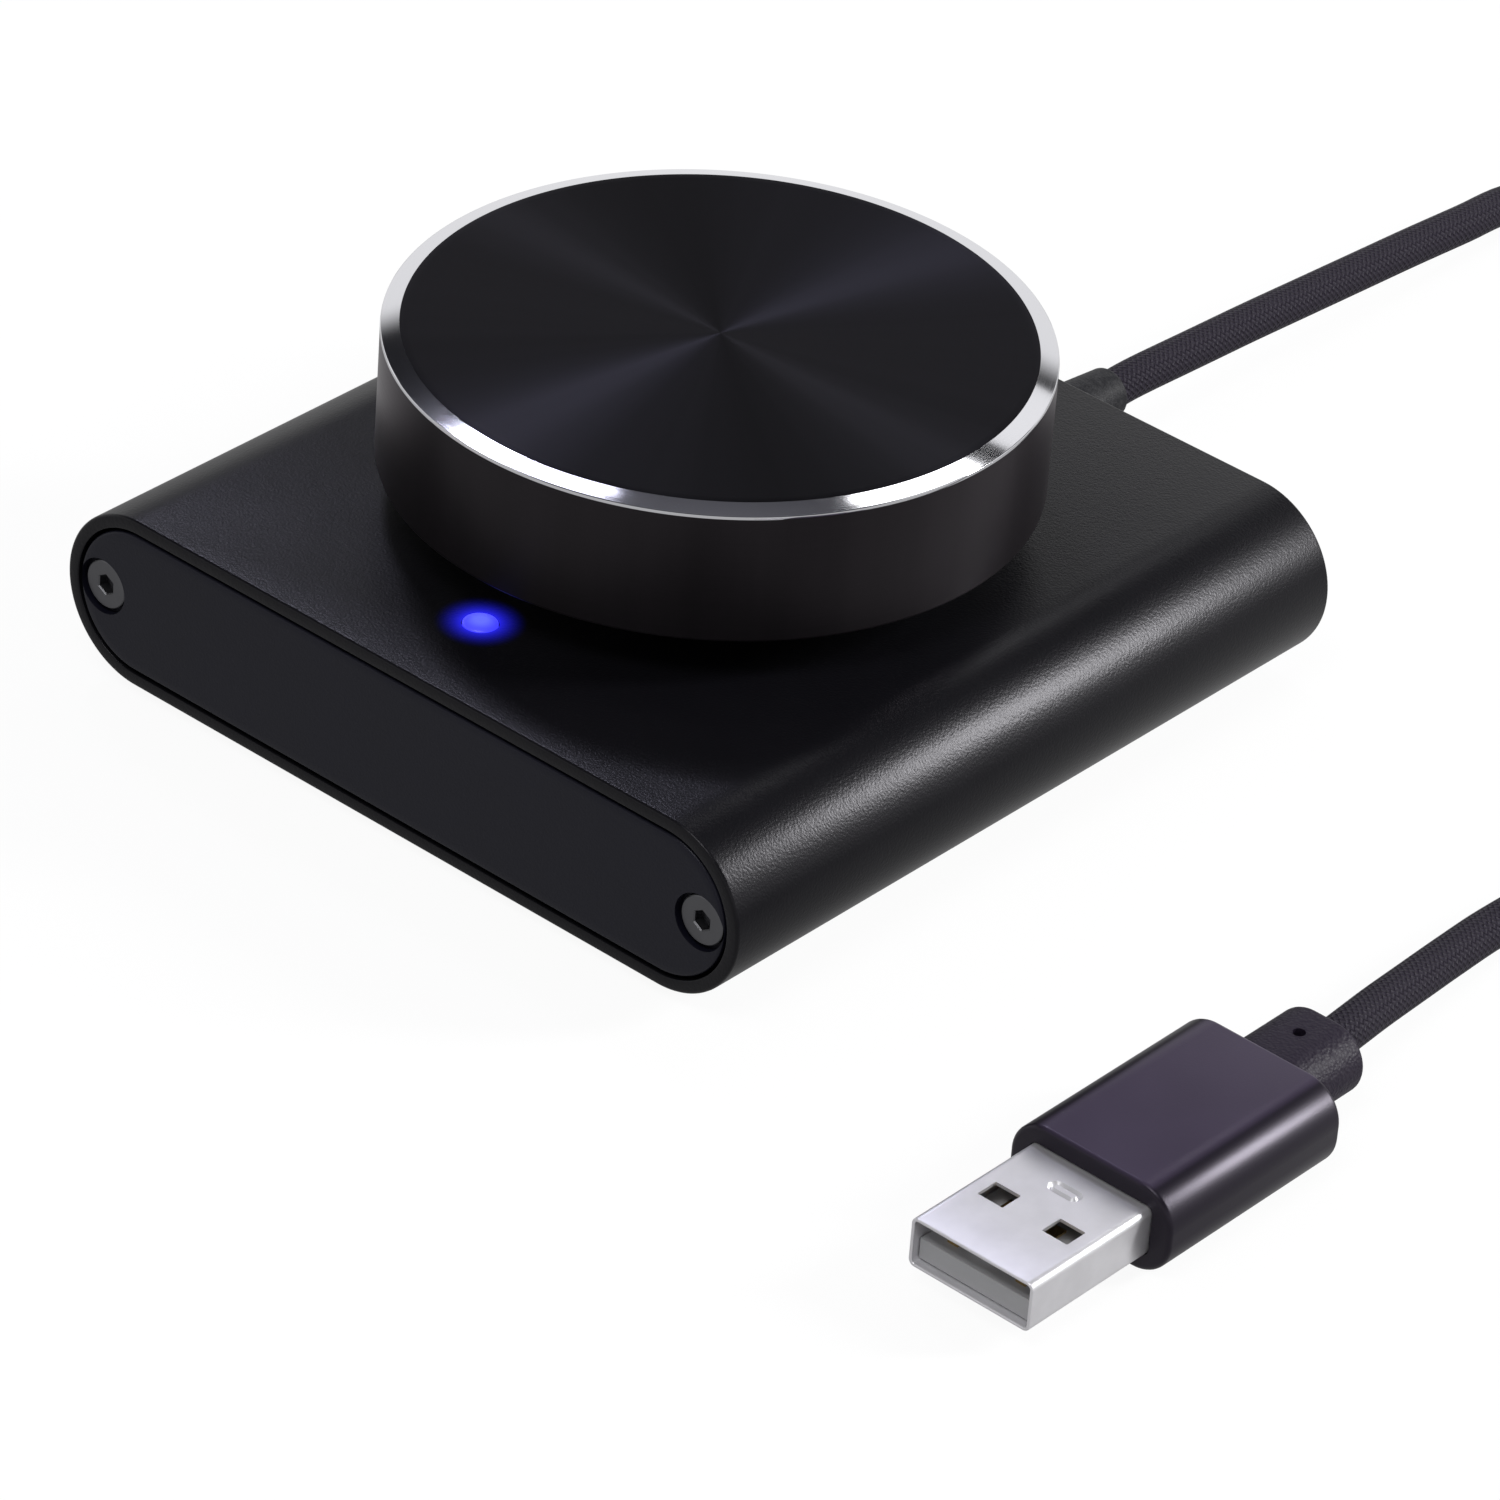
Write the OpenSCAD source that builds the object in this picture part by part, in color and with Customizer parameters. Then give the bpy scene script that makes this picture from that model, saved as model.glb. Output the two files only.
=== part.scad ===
// USB volume control knob: a wide turned dial, pressed to mute, on a flat extruded housing with
// an end plate in each mouth, a lit dot in front of the dial and a lead that ends in a USB plug.
// Millimetres. The origin is on the surface it stands on, under the middle of the housing.
// +Z is up, the front end plate faces -Y and the lead leaves through the rear plate towards +Y.

/* [Housing] */
// Width of the housing, across its two round sides
body_w = 75; // [66:1:90]
// Length of the housing, from front plate to rear plate
body_l = 75; // [66:1:90]
// Height of the housing, which is also the diameter of its round sides
body_h = 16; // [15:0.5:18]
// Wall of the extruded sleeve
wall = 1.2; // [1:0.1:1.4]
// Thickness of both end plates
plate_t = 3; // [2.4:0.2:3.6]
// Gap all round between an end plate and the sleeve
plate_gap = 0.3; // [0.2:0.05:0.4]
// Chamfer on the sharp edges of the sleeve and the plates
edge_c = 0.3; // [0.2:0.05:0.4]
// Distance of each end-plate screw from the housing's side
screw_inset = 4.1; // [4:0.1:4.6]
// Diameter of each rubber foot
foot_d = 9; // [7:0.5:10]
// Height that the feet lift the housing
foot_h = 1; // [0.8:0.1:1.5]

/* [Dial] */
// Diameter of the dial
dial_d = 56; // [52:0.5:58]
// Height of the dial's side
dial_h = 12.3; // [11.5:0.1:13]
// Air gap between the dial and the housing
dial_gap = 4; // [3.5:0.1:5]
// Width of the bright bevel round the top, seen from above
bevel_w = 1.6; // [0.8:0.1:2]
// Drop of the bevel from its inner to its outer edge
bevel_h = 0.4; // [0.3:0.1:1]
// Travel of the dial when it is pressed
press_travel = 0.5; // [0.3:0.1:0.6]

/* [Encoder] */
// Diameter of the rotating shaft
shaft_d = 6; // [5:0.5:6]
// Running clearance of the shaft in its bushing, on the radius
running_gap = 0.05; // [0.03:0.01:0.08]
// Thread diameter of the encoder's bushing
bushing_d = 7; // [7:0.5:7.5]
// Width of the encoder's square case
case_w = 12; // [11:0.5:12.5]
// Height of the encoder's case above the circuit board
case_h = 6.5; // [6.2:0.1:6.8]

/* [Light] */
// Diameter of the indicator light
led_d = 3; // [2:0.5:3]
// Distance of the light from the middle of the dial
led_y = 27.7; // [27:0.1:32]

/* [Lead] */
// Diameter of the lead
cord_d = 3.6; // [3.2:0.1:3.9]
// Height of the lead where it leaves the rear plate
exit_z = 5.9; // [5.8:0.1:7]
// Diameter of the strain relief on the rear plate
boot_d = 6; // [5.6:0.1:6.4]
// Length of that strain relief outside the plate
boot_l = 16.5; // [12:0.5:20]

/* [Plug] */
// Width of the plug's metal shell
shell_w = 12; // [12:0.1:12.1]
// Height of the plug's metal shell
shell_h = 4.5; // [4.5:0.1:4.6]
// Length of shell in front of the grip
shell_l = 14; // [12:0.5:15]
// Width of the plug's grip
grip_w = 16; // [15:0.5:18]
// Height of the plug's grip
grip_h = 8; // [7.5:0.5:9]
// Length of the plug's grip
grip_l = 21; // [18:0.5:24]
// Length of the plug's rubber tail
tail_l = 8; // [6:0.5:10]

/* [Hidden] */
$fn = 96;

// Colours
black_anodised = [0.11, 0.11, 0.14];
screw_grey = [0.36, 0.37, 0.4];
rubber_black = [0.06, 0.06, 0.065];
board_green = [0.05, 0.28, 0.16];
steel = [0.72, 0.73, 0.75];
brass_gold = [0.85, 0.66, 0.3];
plastic_black = [0.09, 0.09, 0.1];
plastic_white = [0.88, 0.87, 0.83];
light_blue = [0.3, 0.35, 1];

eps = 0.01;
// Housing heights
body_z0 = foot_h;
mid_z = foot_h + body_h / 2;
top_z = foot_h + body_h;
roof_z = top_z - wall;
// End plates
plate_w = body_w - 2 * (wall + plate_gap);
plate_h = body_h - 2 * (wall + plate_gap);
inner_l = body_l - 2 * plate_t;
screw_x = body_w / 2 - screw_inset;
thread_d = 2.5;
head_d = 4.4;
head_h = 1.3;
sink_d = 5.1;
sink_depth = 0.35;
hex_af = 1.6;
screw_l = 8;
boss_d = 6;
foot_x = 23.5;
foot_y = 27;
// Circuit board
board_w = 59;
board_t = 1.6;
board_y0 = -34;
board_y1 = 24;
board_top = roof_z - 0.1 - case_h;
rib_w = 2.5;
rib_x = 28;
groove_gap = 0.1;
groove_depth = 1.7;
// Encoder
bushing_top = top_z + 4.5;
washer_d = 11.5;
washer_t = 0.5;
nut_af = 10;
nut_h = 2;
shaft_top = board_top + case_h + 15;
shaft_bottom = board_top + 1.9;
flat_depth = 1.5;
rotor_d = 9;
rotor_h = 1.8;
rotor_z = board_top + 3.4;
cavity_d = 10.2;
case_floor = 1;
plate_thick = 0.9;
pin_d = 0.9;
// Dial
dial_z0 = top_z + dial_gap;
dial_top = dial_z0 + dial_h;
dial_wall = 3;
dial_roof = 2.2;
hub_d = 13;
hub_z0 = bushing_top + press_travel + 0.4;
grub_d = 3;
grub_l = 4.2;
grub_z = (hub_z0 + dial_top - dial_roof) / 2;
// Lead
plate_out = body_l / 2;
boot_end = plate_out + boot_l;
boot_neck_d = 4.6;
layer_z = cord_d + 0.5;
turn_pitch = cord_d + 0.6;
coil_x = 74;
coil_y = 122;
coil_r = 30;
coil_z = 2.6;
coil_turns = 9.25;
rings_per_turn = 24;
tie_angle = 45;
tie_t = 0.6;
tie_w = 6;
// Plug
plug_x = 74;
plug_back = -8.5;
plug_z = grip_h / 2;
grip_back = plug_back - tail_l;
grip_front = grip_back - grip_l;
shell_front = grip_front - shell_l;
shell_t = 0.3;
shell_in = 4.5;
tail_w = 8.5;
tail_h = 6.4;

// The lead's free stretches, by hand: from the rear strain relief along the surface to the
// coil, and from the coil's upper layer down to the surface and on to the plug's tail.
device_route = [
    [0, boot_end, exit_z], [0, 58, 5.9], [0, 66, 5.5], [0, 74, 5.1], [0, 82, 4.6], [0, 90, 4.1],
    [0, 98, 3.6], [0, 106, 3], [0, 113, 2.5], [2, 120, 2.1], [5, 127, 1.9], [9, 133, 1.85],
    [14, 139, 1.85], [20, 144, 1.85], [27, 148, 1.9], [35, 150.5, 2], [43, 151.7, 2.2],
    [51, 152, 2.4], [58, 152, 2.5], [64, 152, 2.6], [coil_x - cord_d, coil_y + coil_r, coil_z]
];
plug_route = [
    [coil_x + coil_r, coil_y - cord_d, coil_z + layer_z], [104, 112, 6.7], [104, 105, 6.4],
    [103, 97, 5.3], [101, 89, 3.9], [98, 81, 2.7], [94.6, 73, 2], [91, 65.5, 1.85],
    [87, 58.5, 1.85], [83, 51.5, 1.85], [79.2, 44.5, 1.85], [75.8, 37.5, 1.85],
    [73.2, 30.5, 1.9], [71.8, 23.5, 1.95], [71.5, 17, 2.1], [71.9, 11, 2.5], [72.5, 5, 3],
    [73.1, -0.5, 3.5], [73.7, -5, 3.9], [plug_x, plug_back, plug_z]
];

// Flat outlines

module stadium(w, h) {
    square([w - h, h], center = true);
    for (side = [-1, 1]) {
        translate([side * (w - h) / 2, 0]) circle(d = h);
    }
}

module round_square(w, h, r) {
    square([w - 2 * r, h], center = true);
    square([w, h - 2 * r], center = true);
    for (sx = [-1, 1], sy = [-1, 1]) {
        translate([sx * (w / 2 - r), sy * (h / 2 - r)]) circle(r);
    }
}

// Extrudes a flat XZ outline along Y from y0 to y1
module along_y(y0, y1) {
    translate([0, y1, 0]) rotate([90, 0, 0]) linear_extrude(y1 - y0) children();
}

// A round bar along Y
module bar_y(d, y0, y1) {
    translate([0, y1, 0]) rotate([90, 0, 0]) cylinder(d = d, h = y1 - y0);
}

// A prism with a stadium section along Y and a chamfer c at each of its two ends
module stadium_prism(w, h, y0, y1, c) {
    for (side = [-1, 1]) {
        translate([side * (w - h) / 2, 0, 0]) rotate([-90, 0, 0]) rotate_extrude() {
            polygon([[0, y0], [h / 2 - c, y0], [h / 2, y0 + c], [h / 2, y1 - c],
                     [h / 2 - c, y1], [0, y1]]);
        }
    }
    rotate([90, 0, 90]) linear_extrude(w - h, center = true) {
        polygon([[y0, -h / 2 + c], [y0 + c, -h / 2], [y1 - c, -h / 2], [y1, -h / 2 + c],
                 [y1, h / 2 - c], [y1 - c, h / 2], [y0 + c, h / 2], [y0, h / 2 - c]]);
    }
}

// Swept tubes

function tangent(path, i) =
    let (a = path[max(i - 1, 0)], b = path[min(i + 1, len(path) - 1)])
    (b - a) / norm(b - a);

function ring_points(path, d, sides) = [
    for (i = [0 : len(path) - 1])
    let (
        along = tangent(path, i),
        across = cross(along, [0, 0, 1]) / norm(cross(along, [0, 0, 1])),
        over = cross(across, along)
    )
    for (k = [0 : sides - 1])
    path[i] + d / 2 * (cos(360 * k / sides) * over + sin(360 * k / sides) * across)
];

function skin_faces(rings, sides) = [
    for (i = [0 : rings - 2], k = [0 : sides - 1])
    let (a = i * sides + k, b = i * sides + (k + 1) % sides)
    for (face = [[a, b, b + sides], [a, b + sides, a + sides]]) face
];

function cap_faces(first, sides, flip) = [
    for (k = [1 : sides - 2])
    flip ? [first, first + k + 1, first + k] : [first, first + k, first + k + 1]
];

module swept_tube(path, d, sides) {
    polyhedron(
        ring_points(path, d, sides),
        concat(
            skin_faces(len(path), sides),
            cap_faces(0, sides, true),
            cap_faces((len(path) - 1) * sides, sides, false)
        )
    );
}

// The coil: turns spiral in on the lower layer and out again on the upper one
coil_mid = coil_turns / 2;
function coil_radius(t) = coil_r - turn_pitch * min(t, coil_turns - t);
function coil_height(t) =
    let (climb = min(max((t - coil_mid) * 2 + 0.5, 0), 1))
    coil_z + layer_z * (1 - cos(180 * climb)) / 2;
function coil_point(t) =
    let (angle = 90 - 360 * t)
    [coil_x + coil_radius(t) * cos(angle), coil_y + coil_radius(t) * sin(angle), coil_height(t)];
coil_steps = coil_turns * rings_per_turn;
coil_path = concat(
    [[coil_x - cord_d, coil_y + coil_r, coil_z]],
    [for (i = [0 : coil_steps]) coil_point(i / rings_per_turn)],
    [[coil_x + coil_r, coil_y - cord_d, coil_z + layer_z]]
);
coil_gap = min([
    for (i = [0 : len(coil_path) - 1])
    for (j = [i + 8 : 1 : len(coil_path) - 1])
    norm(coil_path[i] - coil_path[j])
]) - cord_d;
echo(least_gap_between_coil_turns = coil_gap);

// Housing

module screw_places() {
    for (side = [-1, 1]) {
        translate([side * screw_x, 0, mid_z]) children();
    }
}

module housing_sleeve() {
    color(black_anodised) difference() {
        union() {
            difference() {
                translate([0, 0, mid_z]) {
                    stadium_prism(body_w, body_h, -body_l / 2, body_l / 2, edge_c);
                }
                translate([0, 0, mid_z]) along_y(-body_l, body_l) {
                    stadium(body_w - 2 * wall, body_h - 2 * wall);
                }
            }
            screw_bosses();
            board_ribs();
        }
        screw_places() bar_y(thread_d, -body_l, body_l);
        translate([0, 0, mid_z]) cylinder(d = bushing_d + 0.2, h = body_h);
        translate([0, -led_y, mid_z]) cylinder(d = led_d + 0.2, h = body_h);
    }
}

module screw_bosses() {
    intersection() {
        screw_places() bar_y(boss_d, -inner_l / 2, inner_l / 2);
        translate([0, 0, mid_z]) along_y(-inner_l / 2, inner_l / 2) {
            stadium(body_w - wall, body_h - wall);
        }
    }
}

module board_ribs() {
    for (side = [-1, 1]) {
        along_y(-inner_l / 2, inner_l / 2) difference() {
            translate([side * (rib_x + rib_w / 2), (body_z0 + wall / 2 + board_top + 1) / 2]) {
                square([rib_w, board_top + 1 - body_z0 - wall / 2], center = true);
            }
            translate([side * rib_x, board_top - board_t / 2]) {
                square([2 * groove_depth, board_t + 2 * groove_gap], center = true);
            }
        }
    }
}

module end_plate(front) {
    y0 = front ? -body_l / 2 : body_l / 2 - plate_t;
    outer_y = front ? -body_l / 2 : body_l / 2;
    inward = front ? 1 : -1;
    difference() {
        translate([0, 0, mid_z]) stadium_prism(plate_w, plate_h, y0, y0 + plate_t, edge_c);
        screw_places() {
            bar_y(thread_d + 0.4, -body_l, body_l);
            translate([0, outer_y, 0]) rotate([-90 * inward, 0, 0]) countersink();
        }
        if (!front) {
            translate([0, 0, exit_z]) bar_y(boot_neck_d + 0.1, 0, body_l);
        }
    }
}

// A shallow round recess and the cone under it, cut upwards from z = 0
module countersink() {
    translate([0, 0, -1]) cylinder(d = sink_d, h = 1 + sink_depth);
    translate([0, 0, sink_depth - eps]) {
        cylinder(d1 = head_d + 0.2, d2 = thread_d + 0.4, h = head_h + 2 * eps);
    }
}

module front_plate() {
    color(black_anodised) end_plate(true);
}

module rear_plate() {
    color(black_anodised) end_plate(false);
}

// A countersunk hex-socket screw that points along +Z with its head's face at z = 0
module plate_screw() {
    difference() {
        union() {
            cylinder(d1 = head_d, d2 = thread_d - 0.1, h = head_h);
            cylinder(d = thread_d - 0.1, h = screw_l);
        }
        translate([0, 0, -eps]) cylinder(d = hex_af / cos(30), h = 1, $fn = 6);
    }
}

module plate_screws(front) {
    outer_y = front ? -body_l / 2 : body_l / 2;
    inward = front ? 1 : -1;
    color(screw_grey) screw_places() {
        translate([0, outer_y + inward * sink_depth, 0]) rotate([-90 * inward, 0, 0]) {
            plate_screw();
        }
    }
}

module foot(sx, sy) {
    color(rubber_black) translate([sx * foot_x, sy * foot_y, 0]) rotate_extrude() {
        polygon([[0, 0], [foot_d / 2 - 0.4, 0], [foot_d / 2, 0.4], [foot_d / 2, foot_h],
                 [0, foot_h]]);
    }
}

// Circuit board and what is on it

pin_rows = [[-2.5, -7], [0, -7], [2.5, -7], [-2.5, 7], [2.5, 7]];
light_lead_x = [-1.27, 1.27];
connector_y = 17;
wire_d = 0.9;

module circuit_board() {
    color(board_green) difference() {
        translate([-board_w / 2, board_y0, board_top - board_t]) {
            cube([board_w, board_y1 - board_y0, board_t]);
        }
        for (place = pin_rows) {
            translate([place[0], place[1], 0]) cylinder(d = pin_d + 0.3, h = top_z);
        }
        for (x = light_lead_x) {
            translate([x, -led_y, 0]) cylinder(d = 0.9, h = top_z);
        }
    }
}

module controller_chip() {
    color(plastic_black) translate([-15, -14, board_top]) {
        translate([-3.5, -3.5, 0.15]) cube([7, 7, 1]);
    }
    color(steel) translate([-15, -14, board_top]) {
        for (turn = [0, 90, 180, 270], k = [-3.5 : 1 : 3.5]) {
            rotate(turn) translate([3.3, k * 0.8 - 0.17, 0]) cube([1.2, 0.34, 0.3]);
        }
    }
}

module clock_crystal() {
    color(steel) translate([-15, -2, board_top]) linear_extrude(3.4) stadium(10.6, 4.4);
}

module capacitors() {
    for (place = [[15, -14], [15, 10]]) {
        color(screw_grey) translate([place[0], place[1], board_top]) {
            cylinder(d = 5, h = 5.4);
        }
    }
}

module resistors() {
    for (k = [0 : 5]) {
        color(plastic_black) translate([6 + 3 * k, -22, board_top]) cube([1.25, 2, 0.5]);
    }
    for (k = [0 : 3]) {
        color(brass_gold) translate([-21 + 3 * k, -22, board_top]) cube([1.25, 2, 0.8]);
    }
}

module board_connector() {
    color(plastic_white) difference() {
        translate([-6, connector_y - 3, board_top - board_t - 3.8]) cube([12, 6, 3.8]);
        for (k = [-1.5 : 1 : 1.5]) {
            translate([k * 2.5 - 0.75, connector_y - 2, board_top - board_t - 4]) {
                cube([1.5, 6, 3]);
            }
        }
    }
}

// Four wires, side by side at the connector and two above two where they enter the lead
module lead_wires() {
    wire_colors = ["red", "white", "green", "black"];
    ends = [[-0.55, 0.55], [-0.55, -0.55], [0.55, -0.55], [0.55, 0.55]];
    for (k = [0 : 3]) {
        x = (k - 1.5) * 2.5;
        lift = ends[k][1];
        color(wire_colors[k]) swept_tube(
            [[x, connector_y - 1.9, 4.9], [x, connector_y + 4, 4.9],
             [x * 0.8, 23, 5.1 + lift * 0.5], [x * 0.5, 26, 5.6 + lift],
             [ends[k][0], 28, exit_z + lift], [ends[k][0], 29.9, exit_z + lift]],
            wire_d, 6
        );
    }
}

// Rotary encoder with a push switch

module encoder_case() {
    color(plastic_black) difference() {
        translate([-case_w / 2, -case_w / 2, board_top]) {
            cube([case_w, case_w, case_h - plate_thick]);
        }
        translate([0, 0, board_top + case_floor]) cylinder(d = cavity_d, h = case_h);
    }
}

module encoder_bushing() {
    color(steel) difference() {
        union() {
            translate([-case_w / 2, -case_w / 2, board_top + case_h - plate_thick]) {
                cube([case_w, case_w, plate_thick]);
            }
            translate([0, 0, board_top + case_h - eps]) {
                cylinder(d = bushing_d, h = bushing_top - board_top - case_h + eps);
            }
            for (side = [-1, 1]) {
                translate([side * (case_w / 2 + 0.3) - 0.3, -1.2, board_top + 0.3]) {
                    cube([0.6, 2.4, case_h - 0.3]);
                }
            }
        }
        cylinder(d = shaft_d + 2 * running_gap, h = bushing_top + 1);
    }
}

module encoder_pins() {
    color(steel) for (place = pin_rows) {
        translate([place[0], place[1], board_top - board_t - 1.2]) {
            cylinder(d = pin_d, h = board_t + 2.2);
        }
        translate([place[0] - 0.4, place[1] > 0 ? 6.05 : -7.4, board_top + 1]) {
            cube([0.8, 1.35, 0.4]);
        }
    }
}

module encoder_washer() {
    color(steel) translate([0, 0, top_z]) difference() {
        cylinder(d = washer_d, h = washer_t);
        translate([0, 0, -1]) cylinder(d = bushing_d + 0.2, h = 3);
    }
}

module encoder_nut() {
    color(steel) translate([0, 0, top_z + washer_t]) difference() {
        cylinder(d = nut_af / cos(30), h = nut_h, $fn = 6);
        translate([0, 0, -1]) cylinder(d = bushing_d + 0.1, h = nut_h + 2);
    }
}

module switch_dome() {
    color(steel) translate([0, 0, board_top + case_floor]) rotate_extrude() {
        polygon([[0, 0], [3.6, 0], [3, 0.2], [1.5, 0.3], [0, 0.32]]);
    }
}

module encoder_rotor() {
    color(plastic_white) translate([0, 0, rotor_z]) difference() {
        cylinder(d = rotor_d, h = rotor_h);
        translate([0, 0, -1]) cylinder(d = shaft_d + 2 * running_gap, h = rotor_h + 2);
    }
}

module encoder_shaft() {
    color(steel) difference() {
        translate([0, 0, shaft_bottom]) cylinder(d = shaft_d, h = shaft_top - shaft_bottom);
        translate([-shaft_d, shaft_d / 2 - flat_depth, bushing_top + 1.2]) {
            cube([2 * shaft_d, shaft_d, shaft_top]);
        }
    }
}

// Dial

module dial() {
    r = dial_d / 2;
    color(black_anodised) difference() {
        union() {
            rotate_extrude($fn = 180) {
                polygon([
                    [r - dial_wall, dial_z0], [r - edge_c, dial_z0], [r, dial_z0 + edge_c],
                    [r, dial_top - bevel_h], [r - bevel_w, dial_top], [0, dial_top],
                    [0, dial_top - dial_roof], [r - dial_wall, dial_top - dial_roof]
                ]);
            }
            translate([0, 0, hub_z0]) cylinder(d = hub_d, h = dial_top - dial_roof - hub_z0 + eps);
        }
        translate([0, 0, hub_z0 - 1]) {
            cylinder(d = shaft_d + 2 * running_gap, h = shaft_top + 0.3 - hub_z0 + 1);
        }
        translate([0, 0, grub_z]) bar_y(grub_d + 0.1, 0.5, dial_d);
    }
}

module dial_grub_screw() {
    y0 = shaft_d / 2 - flat_depth + 0.05;
    color(screw_grey) translate([0, 0, grub_z]) difference() {
        bar_y(grub_d, y0, y0 + grub_l);
        translate([0, y0 + grub_l + eps, 0]) rotate([90, 0, 0]) {
            cylinder(d = 1.5 / cos(30), h = 2, $fn = 6);
        }
    }
}

// Indicator light

light_top = top_z + 0.3;
module indicator_light() {
    r = led_d / 2;
    z0 = top_z - 4.6;
    color(light_blue) translate([0, -led_y, 0]) rotate_extrude() {
        polygon(concat(
            [[0, z0], [r + 0.4, z0], [r + 0.4, z0 + 0.9], [r, z0 + 0.9], [r, light_top - 0.5]],
            [for (a = [15 : 15 : 90]) [r * cos(a), light_top - 0.5 + 0.5 * sin(a)]]
        ));
    }
}

module light_leads() {
    color(steel) for (x = light_lead_x) {
        translate([x - 0.25, -led_y - 0.25, board_top - board_t - 1]) {
            cube([0.5, 0.5, top_z - 4.6 - board_top + board_t + 1]);
        }
    }
}

// Lead

module cord_boot() {
    flange_t = 2;
    plate_in = plate_out - plate_t;
    nose = 1.6;
    color(rubber_black) translate([0, 0, exit_z]) rotate([-90, 0, 0]) rotate_extrude() {
        polygon(concat(
            [[cord_d / 2 + 0.05, plate_in - flange_t], [boot_d / 2, plate_in - flange_t],
             [boot_d / 2, plate_in - 0.05], [boot_neck_d / 2, plate_in - 0.05],
             [boot_neck_d / 2, plate_out + 0.05], [boot_d / 2, plate_out + 0.05],
             [boot_d / 2, boot_end - nose]],
            [for (a = [15 : 15 : 75])
             [boot_d / 2 - 0.75 * (1 - cos(a)), boot_end - nose + nose * sin(a)]],
            [[cord_d / 2 + 0.3, boot_end], [cord_d / 2 + 0.05, boot_end]]
        ));
    }
}

module cord_inner_end() {
    color(rubber_black) translate([0, 0, exit_z]) bar_y(cord_d, 30, boot_end);
}

module cord_device_run() {
    color(rubber_black) swept_tube(device_route, cord_d, 8);
}

module cord_coil() {
    color(rubber_black) swept_tube(coil_path, cord_d, 6);
}

// A flat strap closed round all the turns at one place of the coil
module cord_tie() {
    r0 = coil_radius(floor(coil_mid) + tie_angle / 360) - cord_d / 2 - 0.5;
    r1 = coil_r + cord_d / 2 + 0.4;
    z1 = coil_z + layer_z + cord_d / 2 + 0.3;
    color(rubber_black) translate([coil_x, coil_y, 0]) rotate(tie_angle) {
        along_y(-tie_w / 2, tie_w / 2) difference() {
            translate([(r0 + r1) / 2, (z1 + tie_t) / 2]) {
                round_square(r1 - r0 + 2 * tie_t, z1 + tie_t, 1.5);
            }
            translate([(r0 + r1) / 2, (z1 + tie_t) / 2]) {
                round_square(r1 - r0, z1 - tie_t, 0.9);
            }
        }
    }
}

module cord_plug_run() {
    color(rubber_black) swept_tube(plug_route, cord_d, 8);
}

// Plug, lying flat on the surface with its shell towards -Y

module plug_at() {
    translate([plug_x, 0, plug_z]) children();
}

module plug_shell() {
    window = [2.5, 2.2, 2 * shell_h];
    color(steel) plug_at() difference() {
        along_y(shell_front, grip_front + shell_in) round_square(shell_w, shell_h, 0.6);
        along_y(shell_front - 1, grip_front + shell_in + 1) {
            round_square(shell_w - 2 * shell_t, shell_h - 2 * shell_t, 0.35);
        }
        for (side = [-1, 1]) {
            translate([side * 3.2, shell_front + 6.9, 0]) cube(window, center = true);
        }
        translate([0, shell_front + 10.9, 0]) linear_extrude(shell_h) stadium(3, 1.3);
    }
}

module plug_tongue() {
    color(plastic_white) plug_at() {
        translate([-shell_w / 2 + 0.4, shell_front + 0.8, -shell_h / 2 + 0.4]) {
            cube([shell_w - 0.8, grip_front + shell_in - shell_front - 0.8, 1.84]);
        }
    }
}

module plug_contacts() {
    lengths = [7.5, 6.5, 6.5, 7.5];
    color(brass_gold) plug_at() for (k = [0 : 3]) {
        x = (k - 1.5) * 2.25;
        translate([x - 0.5, shell_front + 9.4 - lengths[k], -shell_h / 2 + 2.24]) {
            cube([1, lengths[k], 0.2]);
        }
    }
}

module plug_grip() {
    core_gap = 0.1;
    color(black_anodised) plug_at() difference() {
        union() {
            along_y(grip_front + 0.4, grip_back - 0.3) round_square(grip_w, grip_h, 3.4);
            along_y(grip_front, grip_back) round_square(grip_w - 0.8, grip_h - 0.8, 3);
        }
        along_y(grip_front - 1, grip_front + shell_in + core_gap) {
            round_square(shell_w + 2 * core_gap, shell_h + 2 * core_gap, 0.6 + core_gap);
        }
        along_y(grip_back - 6, grip_back + 1) stadium(tail_w + 0.1, tail_h + 0.1);
    }
}

module plug_tail() {
    color(rubber_black) plug_at() difference() {
        union() {
            along_y(grip_back - 5.9, plug_back - 0.6) stadium(tail_w, tail_h);
            along_y(grip_back - 5.9, plug_back) stadium(tail_w - 1.2, tail_h - 1.2);
        }
        translate([0, plug_back - 3.6, tail_h / 2 - 0.8]) cylinder(d = 1.1, h = 2);
    }
}

housing_sleeve();
front_plate();
rear_plate();
plate_screws(true);  // front_plate_screws
plate_screws(false);  // rear_plate_screws
foot(-1, -1);  // foot_front_left
foot(1, -1);  // foot_front_right
foot(-1, 1);  // foot_rear_left
foot(1, 1);  // foot_rear_right
circuit_board();
controller_chip();
clock_crystal();
capacitors();
resistors();
board_connector();
lead_wires();
encoder_case();
encoder_bushing();
encoder_pins();
encoder_washer();
encoder_nut();
switch_dome();
encoder_rotor();
encoder_shaft();
dial();
dial_grub_screw();
indicator_light();
light_leads();
cord_boot();
cord_inner_end();
cord_device_run();
cord_coil();
cord_tie();
cord_plug_run();
plug_shell();
plug_tongue();
plug_contacts();
plug_grip();
plug_tail();
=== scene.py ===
"""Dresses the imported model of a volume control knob: a wide turned dial on a flat black
housing, a blue light in front of the dial, and a braided lead that ends in a plug.

Sizes are written in millimetres and turned into metres where a mesh is made. The frame is the
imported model's own: origin on the surface under the housing's middle, +Z up, front towards -Y.
"""

import logging
import math
from dataclasses import dataclass, field
from enum import Enum
from typing import Any, ClassVar, Dict, List, Optional, Sequence, Tuple, Union

import bmesh
import bpy
import numpy as np
from mathutils import Matrix


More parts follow.
